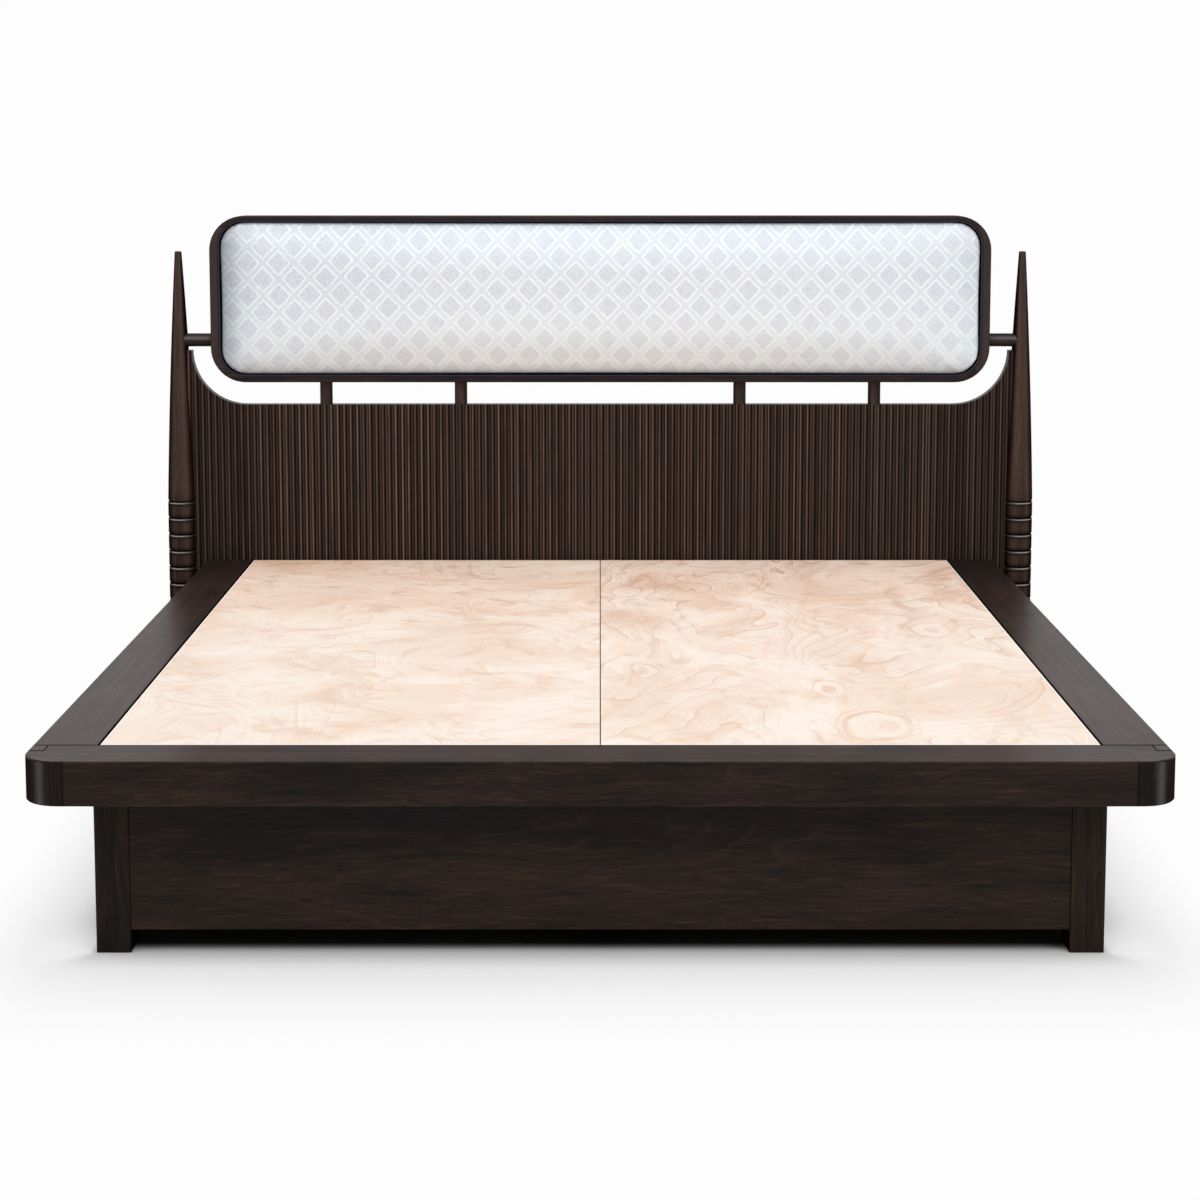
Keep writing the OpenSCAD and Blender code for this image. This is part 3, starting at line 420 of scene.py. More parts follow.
def round_walnut(name, upright, seed, low_side, sheen, high_side):
    """A round bar or dowel, with painted shade along its two sides and a painted highlight along one line.
    Each side is the stretch over which it darkens, in radii from the middle, and its strength."""
    skin = Skin(name)
    x, y, z, shift = mirrored(skin, seed)
    run, across, deep = (z, x, y) if upright else (x, y, z)
    colour, height, rough = grain(skin, run + shift, across + shift, deep, light=1.9)
    if upright:
        outer = skin.sum("GREATER_THAN", x, (DOWEL_IN + DOWEL_OUT) / 2)
        middle = DOWEL_IN + outer * (DOWEL_OUT - DOWEL_IN)
        turn = (x - middle) * skin.sum("SIGN", skin.place()[0]) / DOWEL_R
    else:
        turn = (z - BAR_Z) / BAR_R
    at, reach, share = sheen
    # A painted highlight along one line and painted shade along both sides
    colour = skin.blend(skin.bell(turn, at, reach) * share, colour, ROUND_HIGHLIGHT)
    for side, (start, end, share) in ((turn * -1.0, low_side), (turn, high_side)):
        colour = skin.blend(skin.rise(side, start, end) * share, colour, ROUND_SIDE_SHADE)
    return skin.surface(colour, rough, skin.relief(height, 0.0003, 0.4), **SATIN)


def bent_hoop():
    """Cushion frame: the fibres follow the band, so they turn where a side meets the top or the bottom."""
    skin = Skin("walnut_hoop")
    x, y, z = skin.place()
    out = abs(x) - (HOOP_HIGH[0] - HOOP_R)
    up = abs(z - HOOP_MID_Z) - ((HOOP_HIGH[2] - HOOP_LOW[2]) / 2 - HOOP_R)
    upright = skin.sum("GREATER_THAN", out, up)
    run = z * upright + x * (1 - upright)
    across = x * upright + z * (1 - upright)
    colour, height, rough = grain(skin, run + upright * 4.0, across, y, light=1.2)
    foot = skin.rise(HOOP_MID_Z - z, 0.12, 0.18)
    colour = skin.blend(0.12 + upright * 0.28 - foot * 0.12, colour, HOOP_PALE)
    seam = skin.line(abs(x), HOOP_HIGH[0] - HOOP_R, 0.001) * (1 - upright) * 0.7
    colour = skin.blend(seam, colour, GAP)
    return skin.surface(colour, rough, skin.relief(height, 0.0003, 0.4), **SATIN)


# Plywood with a rotary-cut face. Its tones run from the foot's to the head's.

PALE_FOOT, PALE_HEAD = (0.925, 0.832, 0.748), (0.968, 0.775, 0.632)
TAN_FOOT, TAN_HEAD = (0.865, 0.690, 0.565), (0.880, 0.605, 0.445)
LINE_FOOT, LINE_HEAD = (0.760, 0.520, 0.385), (0.580, 0.330, 0.225)
WISP_PALE = (0.955, 0.878, 0.805)
SPECK = (0.50, 0.29, 0.18)
EDGE_PALE = (0.960, 0.910, 0.850)
HEAD_EDGE_SHADE = (0.52, 0.28, 0.17)
EDGE_DARK = (0.20, 0.11, 0.065)
PLY_PALE = (0.80, 0.63, 0.45)
PLY_TAN = (0.56, 0.37, 0.23)
PLY_PORE = (0.40, 0.25, 0.15)

# The figures of the two deck boards, as veneer() takes them
RIGHT_SWELLS = [
    (0.744, 0.08, 0.075, 0.150, 0.10), (0.480, -0.502, 0.100, 0.150, 0.12),
    (0.545, -0.813, 0.100, 0.160, 0.12), (0.127, -0.401, 0.090, 0.180, 0.12),
    (0.53, 0.923, 0.080, 0.100, 0.14), (0.044, 0.242, 0.090, 0.180, 0.16),
    (0.355, 0.003, 0.050, 0.060, 0.10), (0.71, -0.599, 0.090, 0.050, 0.08),
    (0.479, -0.104, 0.060, 0.110, 0.14)]
RIGHT_EYES = [
    (0.744, 0.08, 0.043, 0.088, 0.20, 0.35, 0.85), (0.459, -0.502, 0.036, 0.075, 0.22, 0.60, 0.9),
    (0.527, -0.805, 0.062, 0.105, 0.02, 0.0, 1.2), (0.545, -0.813, 0.029, 0.047, 0.80, 0.40, 0.6),
    (0.127, -0.401, 0.052, 0.100, 0.02, 0.0, 0.35), (0.53, 0.923, 0.040, 0.060, 0.5, 0.2, 0.6)]
RIGHT_STAINS = [
    (0.055, 0.242, 0.050, 0.115, 0.42), (0.51, -0.13, 0.055, 0.100, 0.30),
    (0.54, 0.58, 0.100, 0.120, 0.28), (0.70, 0.48, 0.050, 0.080, 0.24),
    (0.74, 0.28, 0.035, 0.060, 0.22), (0.16, 0.62, 0.120, 0.060, 0.18)]
LEFT_SWELLS = [(-0.17, 0.78, 0.12, 0.17, 0.18), (-0.36, 0.10, 0.05, 0.08, 0.07)]
LEFT_EYES = [(-0.17, 0.78, 0.050, 0.075, 0.5, 0.18, 0.30)]
LEFT_STAINS = [
    (-0.17, 0.76, 0.090, 0.120, 0.25), (-0.62, 0.55, 0.120, 0.100, 0.20),
    (-0.33, 0.15, 0.080, 0.100, 0.16)]


def oval(x, y, at_x, at_y, half_x, half_y):
    """0 in the middle of an oval, 1 on its edge, and more beyond."""
    return ((x - at_x) / half_x) ** 2 + ((y - at_y) / half_y) ** 2


def board_edges(skin, colour, x, y, z):
    """Sawn edges: pale along the rim, with painted shade at the head, and dark brown where the two boards
    meet. The plies show on the sides, between the two faces."""
    rim = skin.sum("MINIMUM", BOARD_HIGH[0] - abs(x), (y - BOARD_LOW[1]) * 0.45)
    colour = skin.blend((1 - skin.rise(rim, 0.0015, 0.0032)) * 0.8, colour, EDGE_PALE)
    # Painted shade along the head edge, by the headboard
    head = skin.rise(y, BOARD_HIGH[1] - 0.012, BOARD_HIGH[1] - 0.005)
    colour = skin.blend(head * 0.45, colour, HEAD_EDGE_SHADE)
    colour = skin.blend((1 - skin.rise(abs(x), 0.0008, 0.0016)) * 0.9, colour, EDGE_DARK)
    depth = (z - BOARD_LOW[2]) / (BOARD_HIGH[2] - BOARD_LOW[2])
    ply = skin.sum("FRACT", depth * 6.5 + skin.noise(x * 3.0, y * 3.0, 0.0) * 0.08)
    layers = skin.blend(skin.rise(abs(ply - 0.5), 0.22, 0.28), PLY_PALE, PLY_TAN)
    ends = skin.noise(x * 240.0, y * 240.0, z * 90.0, 3.0)
    layers = skin.blend(skin.rise(ends, 0.5, 0.7) * 0.4, layers, PLY_PORE)
    side = skin.rise(depth, 0.01, 0.03) * (1 - skin.rise(depth, 0.97, 0.99))
    return skin.blend(side, colour, layers)


def veneer(name, boldness, grit, swells=(), eyes=(), stains=(), seed=0.0, ribbon=None):
    """The face shows the contour lines of a slow, wavy height. grit is how often its wisps come across and
    along. swells are places where the height has a bump, as (x, y, reach across, reach along, lift), so the
    lines bend around them. eyes are closed ovals, as (x, y, half across, half along, heart's share, heart's
    depth, boldness). stains are soft darker places, as (x, y, reach across, reach along, depth). ribbon is
    the place, slant and reach of close, winding lines from the head to the foot."""
    skin = Skin(name)
    x, y, z = skin.place()
    sway = skin.noise(x * 2.0 + seed, y * 1.2, 0.0, 1.0, 0.45, 0.5) - 0.5
    stir = skin.noise(x * 7.0, y * 3.4 + seed, 0.0, 2.0, 0.45, 0.5) - 0.5
    near_x, near_y = x + stir * 0.040, y + stir * 0.09
    wavy_x, wavy_y = near_x + sway * 0.24, near_y + sway * 0.40
    headwards = skin.rise(y, -0.35, 1.1)
    height = skin.noise(wavy_x * 2.8 + seed, wavy_y * 1.2, 0.0, 1.0, 0.40, 0.3)
    restless = skin.noise(wavy_x * 8.0 + seed, wavy_y * 3.0, 3.0, 2.0, 0.45, 0.6) - 0.5
    height = height + restless * (0.16 + headwards * 0.22) + x * 0.30
    if ribbon:
        middle, slant, reach = ribbon
        winding = (skin.noise(0.0, y * 2.9, seed, 1.0, 0.4) - 0.5) * 0.17
        crossing = skin.rise(near_x + winding - y * slant, middle - reach, middle + reach)
        beyond = skin.noise(wavy_x * 1.5 + seed + 7.0, wavy_y * 2.6, 0.0, 1.0, 0.42, 0.3)
        height = height + (beyond - height) * crossing + crossing * 0.40
    for at_x, at_y, reach_x, reach_y, lift in swells:
        bump = skin.sum("EXPONENT", oval(near_x, near_y, at_x, at_y, reach_x, reach_y) * -1.0)
        height = height + (0.5 - height) * bump * 0.5 + bump * lift
    rings = skin.sum("FRACT", height * 15.0)
    fine = skin.sum("FRACT", height * 60.0)
    strength = skin.rise(skin.noise(x * 3.6, y * 2.4 + seed, 2.0, 2.0), 0.34, 0.62)
    clouds = skin.noise(wavy_x * grit[0] * 0.5, wavy_y * grit[1] * 0.5, 5.0 + seed, 3.0, 0.55, 0.8)
    wisps = skin.noise(wavy_x * grit[0], wavy_y * grit[1], 9.0 + seed, 5.0, 0.62, 1.8)
    fibres = skin.noise(x * 16.0, y * 420.0, 1.0, 3.0, 0.65)
    pale = skin.blend(headwards, PALE_FOOT, PALE_HEAD)
    tan = skin.blend(headwards, TAN_FOOT, TAN_HEAD)
    line_colour = skin.blend(headwards, LINE_FOOT, LINE_HEAD)
    colour = skin.blend(skin.rise(clouds, 0.36, 0.70) * 0.85, pale, tan)
    colour = skin.blend(skin.rise(wisps, 0.48, 0.72) * 0.62, colour, line_colour)
    colour = skin.blend((1 - skin.rise(wisps, 0.28, 0.44)) * 0.7, colour, WISP_PALE)
    drawn = (0.20 + strength * 0.80) * boldness
    colour = skin.blend((rings ** 4.0) * drawn * 0.55, colour, line_colour)
    colour = skin.blend(skin.line(rings, 0.960, 0.060) * drawn * 0.34, colour, line_colour)
    colour = skin.blend((fine ** 2.0) * strength * 0.30, colour, line_colour)
    colour = skin.blend(skin.rise(fibres, 0.54, 0.76) * 0.07, colour, line_colour)
    flecks = skin.noise(x * 210.0, y * 64.0 + seed, 6.0, 3.0, 0.6)
    colour = skin.blend(skin.rise(flecks, 0.50, 0.72) * 0.10, colour, line_colour)
    knotty = skin.noise(x * 14.0, y * 7.0 + seed, 4.0, 2.0) - 0.5
    bent_x, bent_y = near_x + knotty * 0.034, near_y + knotty * 0.05
    for at_x, at_y, reach_x, reach_y, depth in stains:
        off = oval(bent_x, bent_y, at_x, at_y, reach_x, reach_y)
        colour = skin.blend(skin.sum("EXPONENT", off * -1.0) * depth, colour, line_colour)
    fading = 0.30 + skin.rise(skin.noise(x * 11.0, y * 5.0, 7.0 + seed, 1.0), 0.36, 0.62) * 0.70
    for at_x, at_y, half_x, half_y, share, depth, bold in eyes:
        off = oval(bent_x, bent_y, at_x, at_y, half_x, half_y)
        colour = skin.blend((1 - skin.rise(off, 0.5, 1.0)) * (0.55 * bold), colour, pale)
        colour = skin.blend(skin.line(off, 1.0, 0.26) * fading * (0.58 * bold), colour, line_colour)
        colour = skin.blend(skin.line(off, 1.7, 0.22) * fading * (0.30 * bold), colour, line_colour)
        colour = skin.blend((1 - skin.rise(off, share * 0.45, share)) * depth, colour, line_colour)
    specks = skin.node("ShaderNodeTexVoronoi", (), {
        "Vector": skin.node("ShaderNodeCombineXYZ", (), {0: x * 8.0, 1: y * 20.0, 2: seed}), "Scale": 1.0})
    colour = skin.blend((1 - skin.rise(specks, 0.025, 0.06)) * 0.5, colour, SPECK)
    colour = board_edges(skin, colour, x, y, z)
    normal = skin.relief(fibres * 0.6 + rings * 0.4, 0.0002, 0.3)
    return skin.surface(colour, 0.62 + fibres * 0.1, normal, Specular_IOR_Level=0.15)


# Metal, rubber and cloth. One diamond of the lattice has its middle at X and Z.

DIAMOND_X, DIAMOND_Z = -0.2662, 1.1036
DIAMOND_W, DIAMOND_H = 0.08125, 0.0855
CLOTH_WHITE = (0.950, 0.985, 1.0)
CLOTH_LOWER_LIGHT = (0.935, 0.990, 1.0)
CLOTH_TOP_SHADE = (0.620, 0.655, 0.700)
CLOTH_SPECKLE = (0.655, 0.680, 0.745)
CLOTH_THREAD = (0.60, 0.61, 0.66)
CLOTH_SHADE = (0.060, 0.080, 0.120)
CLOTH_FOOT = (0.230, 0.180, 0.160)


def powder_coat():
    """Black powder coat with a fine peel and a little dust."""
    skin = Skin("powder_coated_steel")
    x, y, z = skin.place()
    peel = skin.noise(x * 900.0, y * 900.0, z * 900.0, 2.0)
    dust = skin.noise(x * 14.0, y * 14.0, z * 14.0, 4.0, 0.6)
    colour = skin.blend(skin.rise(dust, 0.42, 0.75), (0.016, 0.016, 0.018), (0.040, 0.039, 0.040))
    return skin.surface(colour, 0.42 + dust * 0.2, skin.relief(peel, 0.0002, 0.5), Specular_IOR_Level=0.4)


def zinc_plate():
    """Zinc plate in small crystals, stained here and there."""
    skin = Skin("zinc_plated_steel")
    x, y, z = skin.place()
    spot = skin.node("ShaderNodeCombineXYZ", (), {0: x * 420.0, 1: y * 420.0, 2: z * 420.0})
    crystal = skin.node("ShaderNodeTexVoronoi", (), {"Vector": spot, "Scale": 1.0}, 1)
    tone = skin.node("ShaderNodeSeparateXYZ", (), {0: crystal})
    stain = skin.noise(x * 60.0, y * 60.0, z * 60.0, 4.0, 0.6)
    colour = skin.blend(tone * 0.6, (0.48, 0.49, 0.50), (0.66, 0.66, 0.65))
    colour = skin.blend(skin.rise(stain, 0.55, 0.8) * 0.5, colour, (0.34, 0.33, 0.31))
    return skin.surface(colour, 0.26 + stain * 0.25, skin.relief(tone, 0.0001, 0.4), Metallic=1.0)


def polished_rod():
    """A bright rod with a thin oil film and faint rings from grinding."""
    skin = Skin("chromed_rod")
    x, y, z = skin.place()
    film = skin.noise(x * 40.0, y * 40.0, z * 25.0, 3.0)
    rings = skin.noise(x * 5.0, y * 900.0, z * 1800.0, 2.0)
    colour = skin.blend(film, (0.78, 0.79, 0.80), (0.62, 0.62, 0.60))
    return skin.surface(colour, 0.07 + rings * 0.12, skin.relief(rings, 0.00004, 0.4), Metallic=1.0)


def soft_rubber():
    """Black rubber with open pores."""
    skin = Skin("rest_pad_rubber")
    x, y, z = skin.place()
    pores = skin.noise(x * 700.0, y * 700.0, z * 700.0, 3.0)
    colour = skin.blend(pores, (0.012, 0.012, 0.012), (0.032, 0.031, 0.030))
    return skin.surface(colour, 0.7 + pores * 0.15, skin.relief(pores, 0.0003, 0.6), Specular_IOR_Level=0.3)


def piping_cloth():
    """Navy twill over the piping cord."""
    skin = Skin("navy_piping")
    x, y, z = skin.place()
    twill = skin.sum("SINE", (x + z) * 3800.0) * 0.25 + skin.sum("SINE", (x - z + y) * 3800.0) * 0.25
    fuzz = skin.noise(x * 500.0, y * 500.0, z * 500.0, 3.0)
    worn = skin.rise(fuzz + twill * 0.3, 0.3, 0.8)
    colour = skin.blend(worn, (0.010, 0.0105, 0.020), (0.036, 0.037, 0.064))
    return skin.surface(colour, 0.78 + fuzz * 0.12, skin.relief(fuzz + twill, 0.0004, 0.6),
                        Specular_IOR_Level=0.2, Sheen_Weight=0.15)


def lattice_cloth():
    """Pale jacquard: rounded grey-lilac diamonds, each in a white outline, on a grey-green ground."""
    skin = Skin("lattice_jacquard")
    x, y, z = skin.place()
    drift = skin.noise(x * 3.0, 0.0, z * 3.0, 2.0) - 0.5
    jitter = skin.noise(x * 45.0, 1.0, z * 45.0, 3.0, 0.6) - 0.5
    slack = skin.rise(x * -1.0, 0.4, 0.9) * 0.20 + skin.rise(x, 0.4, 0.9) * 0.08
    across = (x - DIAMOND_X) / DIAMOND_W + drift * 0.03 + jitter * 0.05
    upward = (z - DIAMOND_Z) / DIAMOND_H + drift * 0.04 + jitter * 0.05 + slack
    first = abs(skin.sum("FRACT", across + upward + 0.5) - 0.5)
    second = abs(skin.sum("FRACT", across - upward + 0.5) - 0.5)
    reach = skin.sum("SMOOTH_MAX", first, second, 0.09)
    thread = skin.noise(x * 900.0, y * 900.0, z * 900.0, 2.0, 0.6)
    mottle = skin.noise(x * 170.0, y * 170.0, z * 170.0, 3.0, 0.7)
    hue = skin.rise(skin.noise(x * 11.0, 3.0, z * 11.0, 3.0, 0.6), 0.35, 0.65)
    pressed = skin.rise(skin.noise(x * 38.0, 5.0, z * 38.0, 2.0), 0.34, 0.60)
    inside = 1 - skin.rise(reach, 0.325, 0.350)
    outline = skin.rise(reach, 0.322, 0.357) * (1 - skin.rise(reach, 0.404, 0.439))
    ground = skin.blend(hue, (0.780, 0.815, 0.880), (0.775, 0.865, 0.890))
    diamond = skin.blend(hue, (0.775, 0.790, 0.870), (0.755, 0.812, 0.855))
    colour = skin.blend(inside, ground, diamond)
    crisp = 1 - skin.rise(x, -0.72, -0.30)
    speckle = (1 - skin.rise(mottle, 0.42, 0.56)) * (0.25 + inside * 0.45 + crisp * 0.45)
    colour = skin.blend(speckle, colour, CLOTH_SPECKLE)
    colour = skin.blend(outline * (0.60 + pressed * 0.38), colour, CLOTH_WHITE)
    dip, foot = x - HOOP_LOW[0], z - HOOP_LOW[2]
    # Painted shade over the upper part of the cushion
    colour = skin.blend(skin.rise(foot, 0.20, 0.42) * 0.25, colour, CLOTH_TOP_SHADE)
    # Painted light over the lower part, paler and cooler
    lower_light = (1 - skin.rise(foot, 0.06, 0.28)) * (0.58 - inside * 0.26)
    colour = skin.blend(lower_light, colour, CLOTH_LOWER_LIGHT)
    # Shade where the cloth dips in behind the piping, at the left and along the foot
    colour = skin.blend((1 - skin.rise(dip, 0.016, 0.095)) * 0.54, colour, CLOTH_SHADE)
    colour = skin.blend((1 - skin.rise(dip, 0.05, 0.16)) * 0.12, colour, CLOTH_SHADE)
    colour = skin.blend((1 - skin.rise(foot, 0.008, 0.062)) * 0.60, colour, CLOTH_FOOT)
    colour = skin.blend(skin.rise(thread, 0.45, 0.8) * 0.12, colour, CLOTH_THREAD)
    weave = skin.sum("SINE", x * 5200.0) * skin.sum("SINE", z * 5200.0) * 0.25
    height = outline * 0.6 + inside * 0.2 + weave + mottle * 0.5
    return skin.surface(colour, 0.82 + mottle * 0.12, skin.relief(height, 0.0005, 0.45),
                        Specular_IOR_Level=0.25, Sheen_Weight=0.12)


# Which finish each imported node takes

finishes = {
    walnut("walnut_front_rail", "X", (RAIL_LOW, RAIL_HIGH), RAIL_SEAMS, seed=1.1, light=0.96,
           top_z=RAIL_HIGH[2]): ["front_rail"],
    walnut("walnut_side_rails", "Y", (SIDE_LOW, SIDE_HIGH), SIDE_SEAMS, seed=2.9,
           top_z=RAIL_HIGH[2], sheen=0.062): ["side_rail_left", "side_rail_right"],
    corner_walnut(): ["corner_block_left", "corner_block_right"],
    walnut("walnut_front_panel", "X", seed=7.4, figure=1.4, light=1.12, warm_below=0.155): [
        "front_panel"],
    walnut("walnut_side_panels", "Y", seed=8.8, figure=1.4, light=1.12, warm_below=0.155): [
        "side_panel_left", "side_panel_right", "centre_partition"],
    walnut("walnut_front_legs", "Z", (LEG_LOW, LEG_HIGH), LEG_SEAMS, seed=3.3, light=0.92,
           warmth=-0.05): ["front_leg_left", "front_leg_right"],
    walnut("walnut_rear_legs", "Z", corners("rear_leg_right"), seed=6.1): [
        "rear_leg_left", "rear_leg_right"],
    walnut("walnut_inner_parts", "Y", seed=4.4): [
        "floor_battens", "side_ledge_left", "side_ledge_right"],
    walnut("walnut_foot_ledge", "X", seed=4.9): ["foot_ledge"],
    walnut("walnut_centre_legs", "Z", seed=9.4): ["centre_legs"],
    walnut("walnut_backing", "Z", seed=0.7, figure=1.6, light=1.2): ["headboard_backing"],
    walnut("walnut_backer", "X", seed=10.7, figure=1.6, light=1.2): ["cushion_backer"],
    round_walnut("walnut_bars", upright=False, seed=12.7, low_side=(0.0, 0.95, 0.85),
                 sheen=(0.34, 0.24, 0.45), high_side=(0.70, 0.98, 0.6)): [
        "cross_bar_left", "cross_bar_right"],
    round_walnut("walnut_dowels", upright=True, seed=13.7, low_side=(0.66, 0.92, 0.85),
                 sheen=(-0.40, 0.30, 0.04), high_side=(0.35, 0.95, 0.8)): ["support_dowels"],
    reeded(): ["fluted_facing"],
    turned(): ["post_left", "post_right"],
    bent_hoop(): ["cushion_frame"],
    veneer("plywood_right", 0.96, (9.0, 5.0), RIGHT_SWELLS, RIGHT_EYES, RIGHT_STAINS, seed=3.0,
           ribbon=(0.432, 0.062, 0.045)): ["deck_board_right"],
    veneer("plywood_left", 0.42, (6.0, 8.0), LEFT_SWELLS, LEFT_EYES, LEFT_STAINS, seed=11.0,
           ribbon=(-0.29, 0.10, 0.050)): ["deck_board_left"],
    veneer("plywood_floor", 0.45, (8.0, 5.0), seed=21.0): ["floor_board_left", "floor_board_right"],
    powder_coat(): [
        "side_tube_left", "side_tube_right", "foot_tube", "head_tube", "centre_tube", "cross_tubes",
        "hinge_lug_left", "hinge_lug_right", "lift_plate_left", "lift_plate_right",
        "strut_barrel_left", "strut_barrel_right"],
    zinc_plate(): [
        "bed_bolts", "plate_bolts", "pivot_pins", "lower_strut_studs", "upper_strut_studs", "board_screws"],
    polished_rod(): ["strut_rod_left", "strut_rod_right"],
    soft_rubber(): ["rest_pads"],
    piping_cloth(): ["cushion_piping"],
    lattice_cloth(): ["headboard_cushion"],
}
for finish, names in finishes.items():
    for name in names:
        NODES[name].data.materials.clear()
        NODES[name].data.materials.append(finish)


# The head cushion: foam under cloth, tucked into its frame behind the piping

# The shell is drawn in a little first, as the run as cloth puffs it out again
CROWN_BACK = 0.009
SHELL_X, SHELL_Z = 0.9985, 0.993
SHELL_STEP = 0.008
CLOTH_FRAMES = 20
CLOTH_PUFF = 0.022
TUCK_LEAD, TUCK_DEPTH = 0.002, 0.01
GATHER_LAP, GATHER_START, GATHER_REACH = 0.004, 0.006, 0.05
GATHER_DEPTH = 0.0007


def points_of(mesh):
    flat = np.zeros(len(mesh.vertices) * 3)
    mesh.vertices.foreach_get("co", flat)
    return flat.reshape(-1, 3)


def put_points(mesh, points):
    mesh.vertices.foreach_set("co", points.ravel())
    mesh.update()


def applied(piece):
    """The piece's mesh with its modifiers worked in."""
    depsgraph = bpy.context.evaluated_depsgraph_get()
    mesh = bpy.data.meshes.new_from_object(piece.evaluated_get(depsgraph))
    piece.modifiers.clear()
    piece.data = mesh
    return mesh


def puff(piece, seam_y):
    """Run the piece as cloth under light pressure, with its edge held behind the seam."""
    start = points_of(piece.data)
    tucked = piece.vertex_groups.new(name="tucked")
    held = np.clip((start[:, 1] - (seam_y - TUCK_LEAD)) / TUCK_DEPTH, 0, 1)
    for index, weight in enumerate(held):
        if weight > 0:
            tucked.add([index], float(weight), "REPLACE")
    cloth = piece.modifiers.new("cloth", "CLOTH")
    settings = cloth.settings
    settings.quality = 5
    settings.mass = 0.3
    settings.tension_stiffness = settings.compression_stiffness = 20.0
    settings.shear_stiffness = 8.0
    settings.bending_stiffness = 1.5
    settings.use_pressure = True
    settings.uniform_pressure_force = 4.0
    settings.effector_weights.gravity = 0.0
    settings.vertex_group_mass = "tucked"
    cloth.point_cache.frame_start, cloth.point_cache.frame_end = 1, CLOTH_FRAMES
    for number in range(1, CLOTH_FRAMES + 1):
        bpy.context.scene.frame_set(number)
    mesh = applied(piece)
    bpy.context.scene.frame_set(1)
    move = points_of(mesh) - start
    length = np.linalg.norm(move, axis=1, keepdims=True)
    move *= np.minimum(1.0, CLOTH_PUFF / np.maximum(length, 1e-9))
    put_points(mesh, start + move)
    piece.vertex_groups.clear()


def head_cushion():
    """The cushion's cloth skin. It starts from the solid cushion and takes its place."""
    source = NODES["headboard_cushion"]
    piece = bpy.data.objects.new("head_cushion", source.data.copy())
    bpy.context.scene.collection.objects.link(piece)
    low, high = corners("headboard_cushion")
    middle_x, middle_z = Vector(((low[0] + high[0]) / 2, (low[2] + high[2]) / 2))
    seam_y = HOOP_LOW[1] + PIPING_D
    points = points_of(piece.data)
    front = np.clip((seam_y - points[:, 1]) / (seam_y - low[1]), 0, 1)
    points[:, 1] += front * CROWN_BACK
    points[:, 0] = middle_x + (points[:, 0] - middle_x) * SHELL_X
    points[:, 2] = middle_z + (points[:, 2] - middle_z) * SHELL_Z
    put_points(piece.data, points)

    shell = piece.modifiers.new("shell", "REMESH")
    shell.mode = "VOXEL"
    shell.voxel_size = SHELL_STEP
    applied(piece)
    puff(piece, seam_y)

    smooth = piece.modifiers.new("smooth", "SUBSURF")
    smooth.levels = smooth.render_levels = 1
    mesh = applied(piece)
    points = points_of(mesh)
    gather(points, seam_y, low, high)
    put_points(mesh, points)
    mesh.polygons.foreach_set("use_smooth", [True] * len(mesh.polygons))
    mesh.materials.clear()
    mesh.materials.append(bpy.data.materials["lattice_jacquard"])
    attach(piece, "bed_base")
    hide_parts("headboard_cushion")


def gather(points, seam_y, low, high):
    """Small gathers where the cloth is drawn in behind the piping. They fade towards the middle."""
    half_x, half_z = (high[0] - low[0]) / 2, (high[2] - low[2]) / 2
    x, z = points[:, 0] - (high[0] + low[0]) / 2, points[:, 2] - (high[2] + low[2]) / 2
    inset = np.minimum(half_x - np.abs(x), half_z - np.abs(z))
    along = np.where(half_x - np.abs(x) < half_z - np.abs(z), z, x)
    waves = np.sin(along * 210.0 + 1.7 * np.sin(along * 31.0)) + 0.6 * np.sin(along * 97.0 + 2.0)
    near = np.clip(1 - inset / GATHER_REACH, 0, 1) ** 1.5 * np.clip(inset / GATHER_START, 0, 1)
    front = points[:, 1] < seam_y + GATHER_LAP
    points[:, 1] += np.where(front, near * waves * GATHER_DEPTH, 0)


head_cushion()


# Floor and light

WHITE_GLOW = 0.982
FLOOR_SIZE, FLOOR_DROP = 40, 0.0005


def floor_material():
    """White paint that takes the bed's shadow. For the camera it glows more the further it is from the bed,
    so it ends in plain white. Under the bed a shadow is painted dark, and beside the front feet a painted
    glow makes it paler."""
    skin = Skin("studio_floor")
    x, y, _ = skin.place()
    beside, before = abs(x) - LEG_HIGH[0], abs(y - MIDDLE_Y) - (MIDDLE_Y - LEG_LOW[1])
    out_x, out_y = skin.most(beside, 0.0), skin.most(before, 0.0)
    away = skin.sum("SQRT", (out_x * 2.0) ** 2 + out_y ** 2)
    edge = skin.most(beside, before)
    # A painted shadow under the bed
    under = skin.rise(edge * -1.0, -0.004, 0.060)
    tone = skin.blend(under, (0.93, 0.93, 0.93), (0.030, 0.030, 0.030))
    paint = skin.node("ShaderNodeBsdfDiffuse", (), {"Color": tone})
    white = skin.node("ShaderNodeEmission", (), {"Color": (1.0, 1.0, 1.0, 1.0), "Strength": WHITE_GLOW})
    camera = skin.node("ShaderNodeLightPath", out=0)
    # A painted glow beside the front feet, lifting the shadow there
    ahead = skin.most(LEG_LOW[1] - y, 0.0)
    glow_beside_foot = (skin.rise(beside, 0.0, ahead * 1.2 + 0.016) * (1 - skin.rise(away, 0.04, 0.26))
                   * skin.rise(LEG_LOW[1] - y, -0.22, -0.01) * (1 - skin.rise(ahead, 0.0, 0.12)))
    shown = skin.rise(edge, -0.036, 0.104) * 0.54 + skin.rise(away, 0.04, 0.6) * 0.46
    shown = skin.sum("MINIMUM", shown + glow_beside_foot * 0.38, 1.0) * camera
    skin.node("ShaderNodeOutputMaterial", (), {0: skin.node("ShaderNodeMixShader", (), {
        0: shown, 1: paint, 2: white})})
    return skin.material


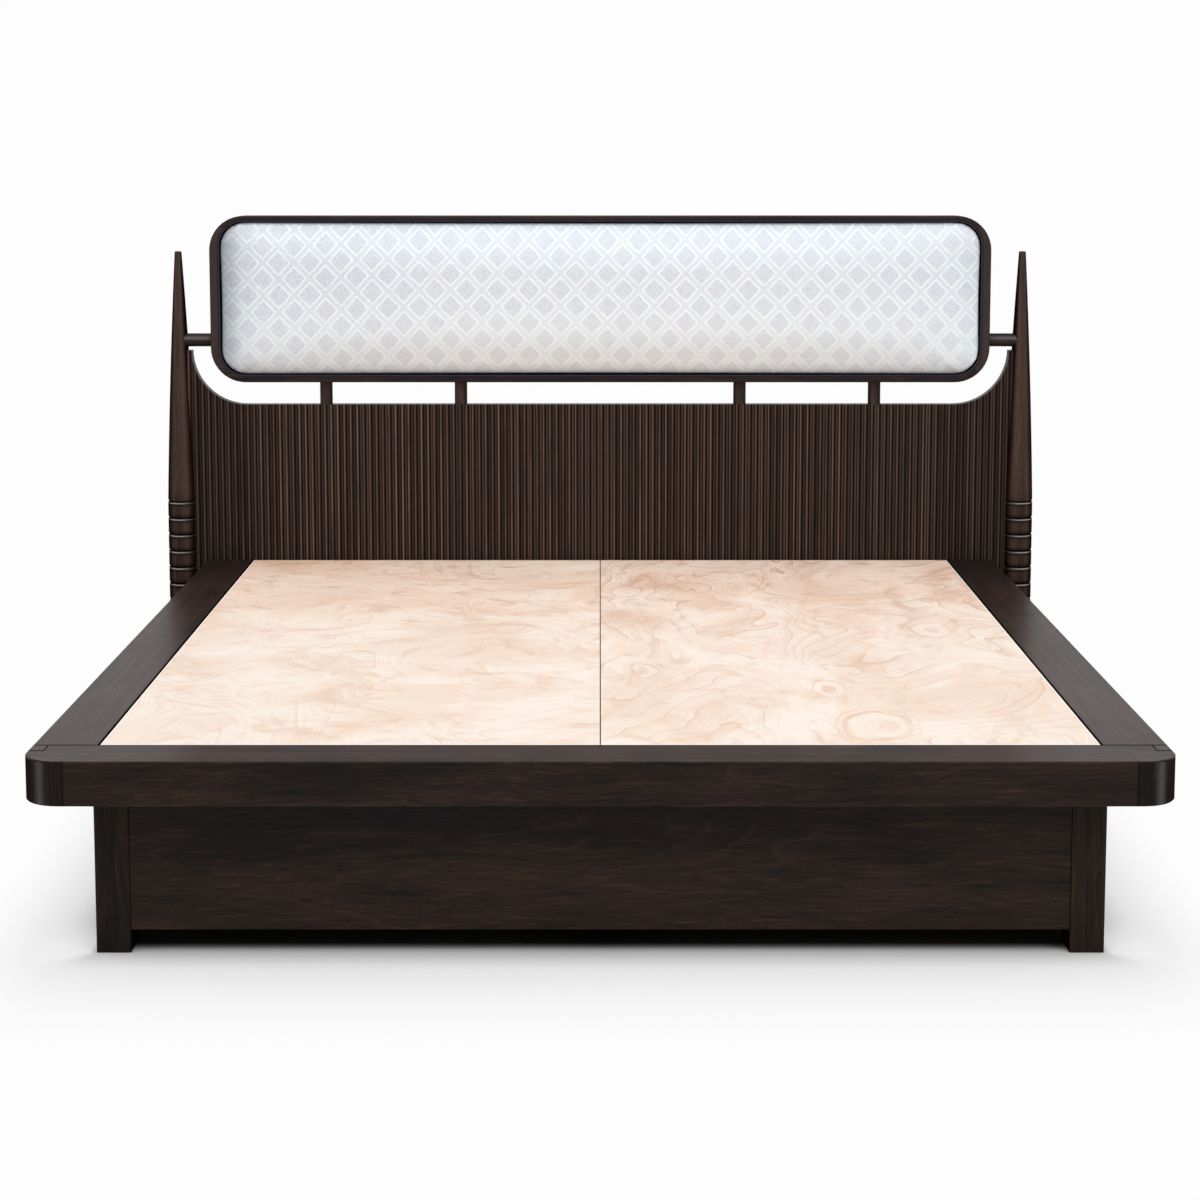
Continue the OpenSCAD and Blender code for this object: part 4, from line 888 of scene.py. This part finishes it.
bpy.ops.mesh.primitive_grid_add(
    x_subdivisions=8, y_subdivisions=8, size=FLOOR_SIZE, location=(0, 0, -FLOOR_DROP))
floor = bpy.context.object
floor.name = "studio_floor"
floor.data.materials.append(floor_material())

# The world lights the bed plainly, and is seen as white by the camera, in metal and through glass
room = bpy.data.worlds.new("studio")
bpy.context.scene.world = room
room.use_nodes = True
sky = Finish(room.node_tree)
rays = [sky.node("ShaderNodeLightPath", out=kind)
        for kind in ("Is Camera Ray", "Is Glossy Ray", "Is Transmission Ray")]
plain_light = sky.node("ShaderNodeBackground", (), {"Color": (0.985, 0.99, 1.0, 1.0), "Strength": 0.55})
backdrop = sky.node("ShaderNodeBackground", (), {"Color": (1.0, 1.0, 1.0, 1.0), "Strength": WHITE_GLOW})
sky.node("ShaderNodeOutputWorld", (), {0: sky.node("ShaderNodeMixShader", (), {
    0: sky.most(*rays), 1: plain_light, 2: backdrop})})


def soft_lamp(name, place, target, size, power):
    lamp = bpy.data.lights.new(name, "AREA")
    lamp.shape = "RECTANGLE"
    lamp.size, lamp.size_y = size
    lamp.energy = power
    stand = bpy.data.objects.new(name, lamp)
    bpy.context.scene.collection.objects.link(stand)
    stand.location = place
    stand.rotation_euler = (Vector(target) - Vector(place)).to_track_quat("-Z", "Y").to_euler()


soft_lamp("overhead_lamp", (-0.3, -1.3, 4.5), (0, 0.1, 0.3), size=(6.0, 5.0), power=108)
soft_lamp("head_lamp", (0.0, 0.5, 2.7), (0, 0.85, 0.4), size=(2.4, 0.5), power=9)
soft_lamp("key_lamp", (3.4, -4.4, 3.4), (0, 0.4, 0.7), size=(2.0, 2.0), power=54)

# The camera: its X, how far it stands before the foot, how high, and how many degrees it looks down
CAMERA_X, CAMERA_BACK, CAMERA_Z, CAMERA_TILT = -0.0006, 4.1798, 1.477, 6.52
lens = bpy.data.cameras.new("camera")
lens.lens = 72.2
lens.sensor_width = 36.0
lens.shift_y = -0.15
lens.clip_end = 200.0
camera = bpy.data.objects.new("camera", lens)
bpy.context.scene.collection.objects.link(camera)
camera.location = (CAMERA_X, FOOT_Y - CAMERA_BACK, CAMERA_Z)
camera.rotation_euler = (math.radians(90 - CAMERA_TILT), 0, 0)
bpy.context.scene.camera = camera
bpy.context.scene.view_settings.view_transform = "Standard"
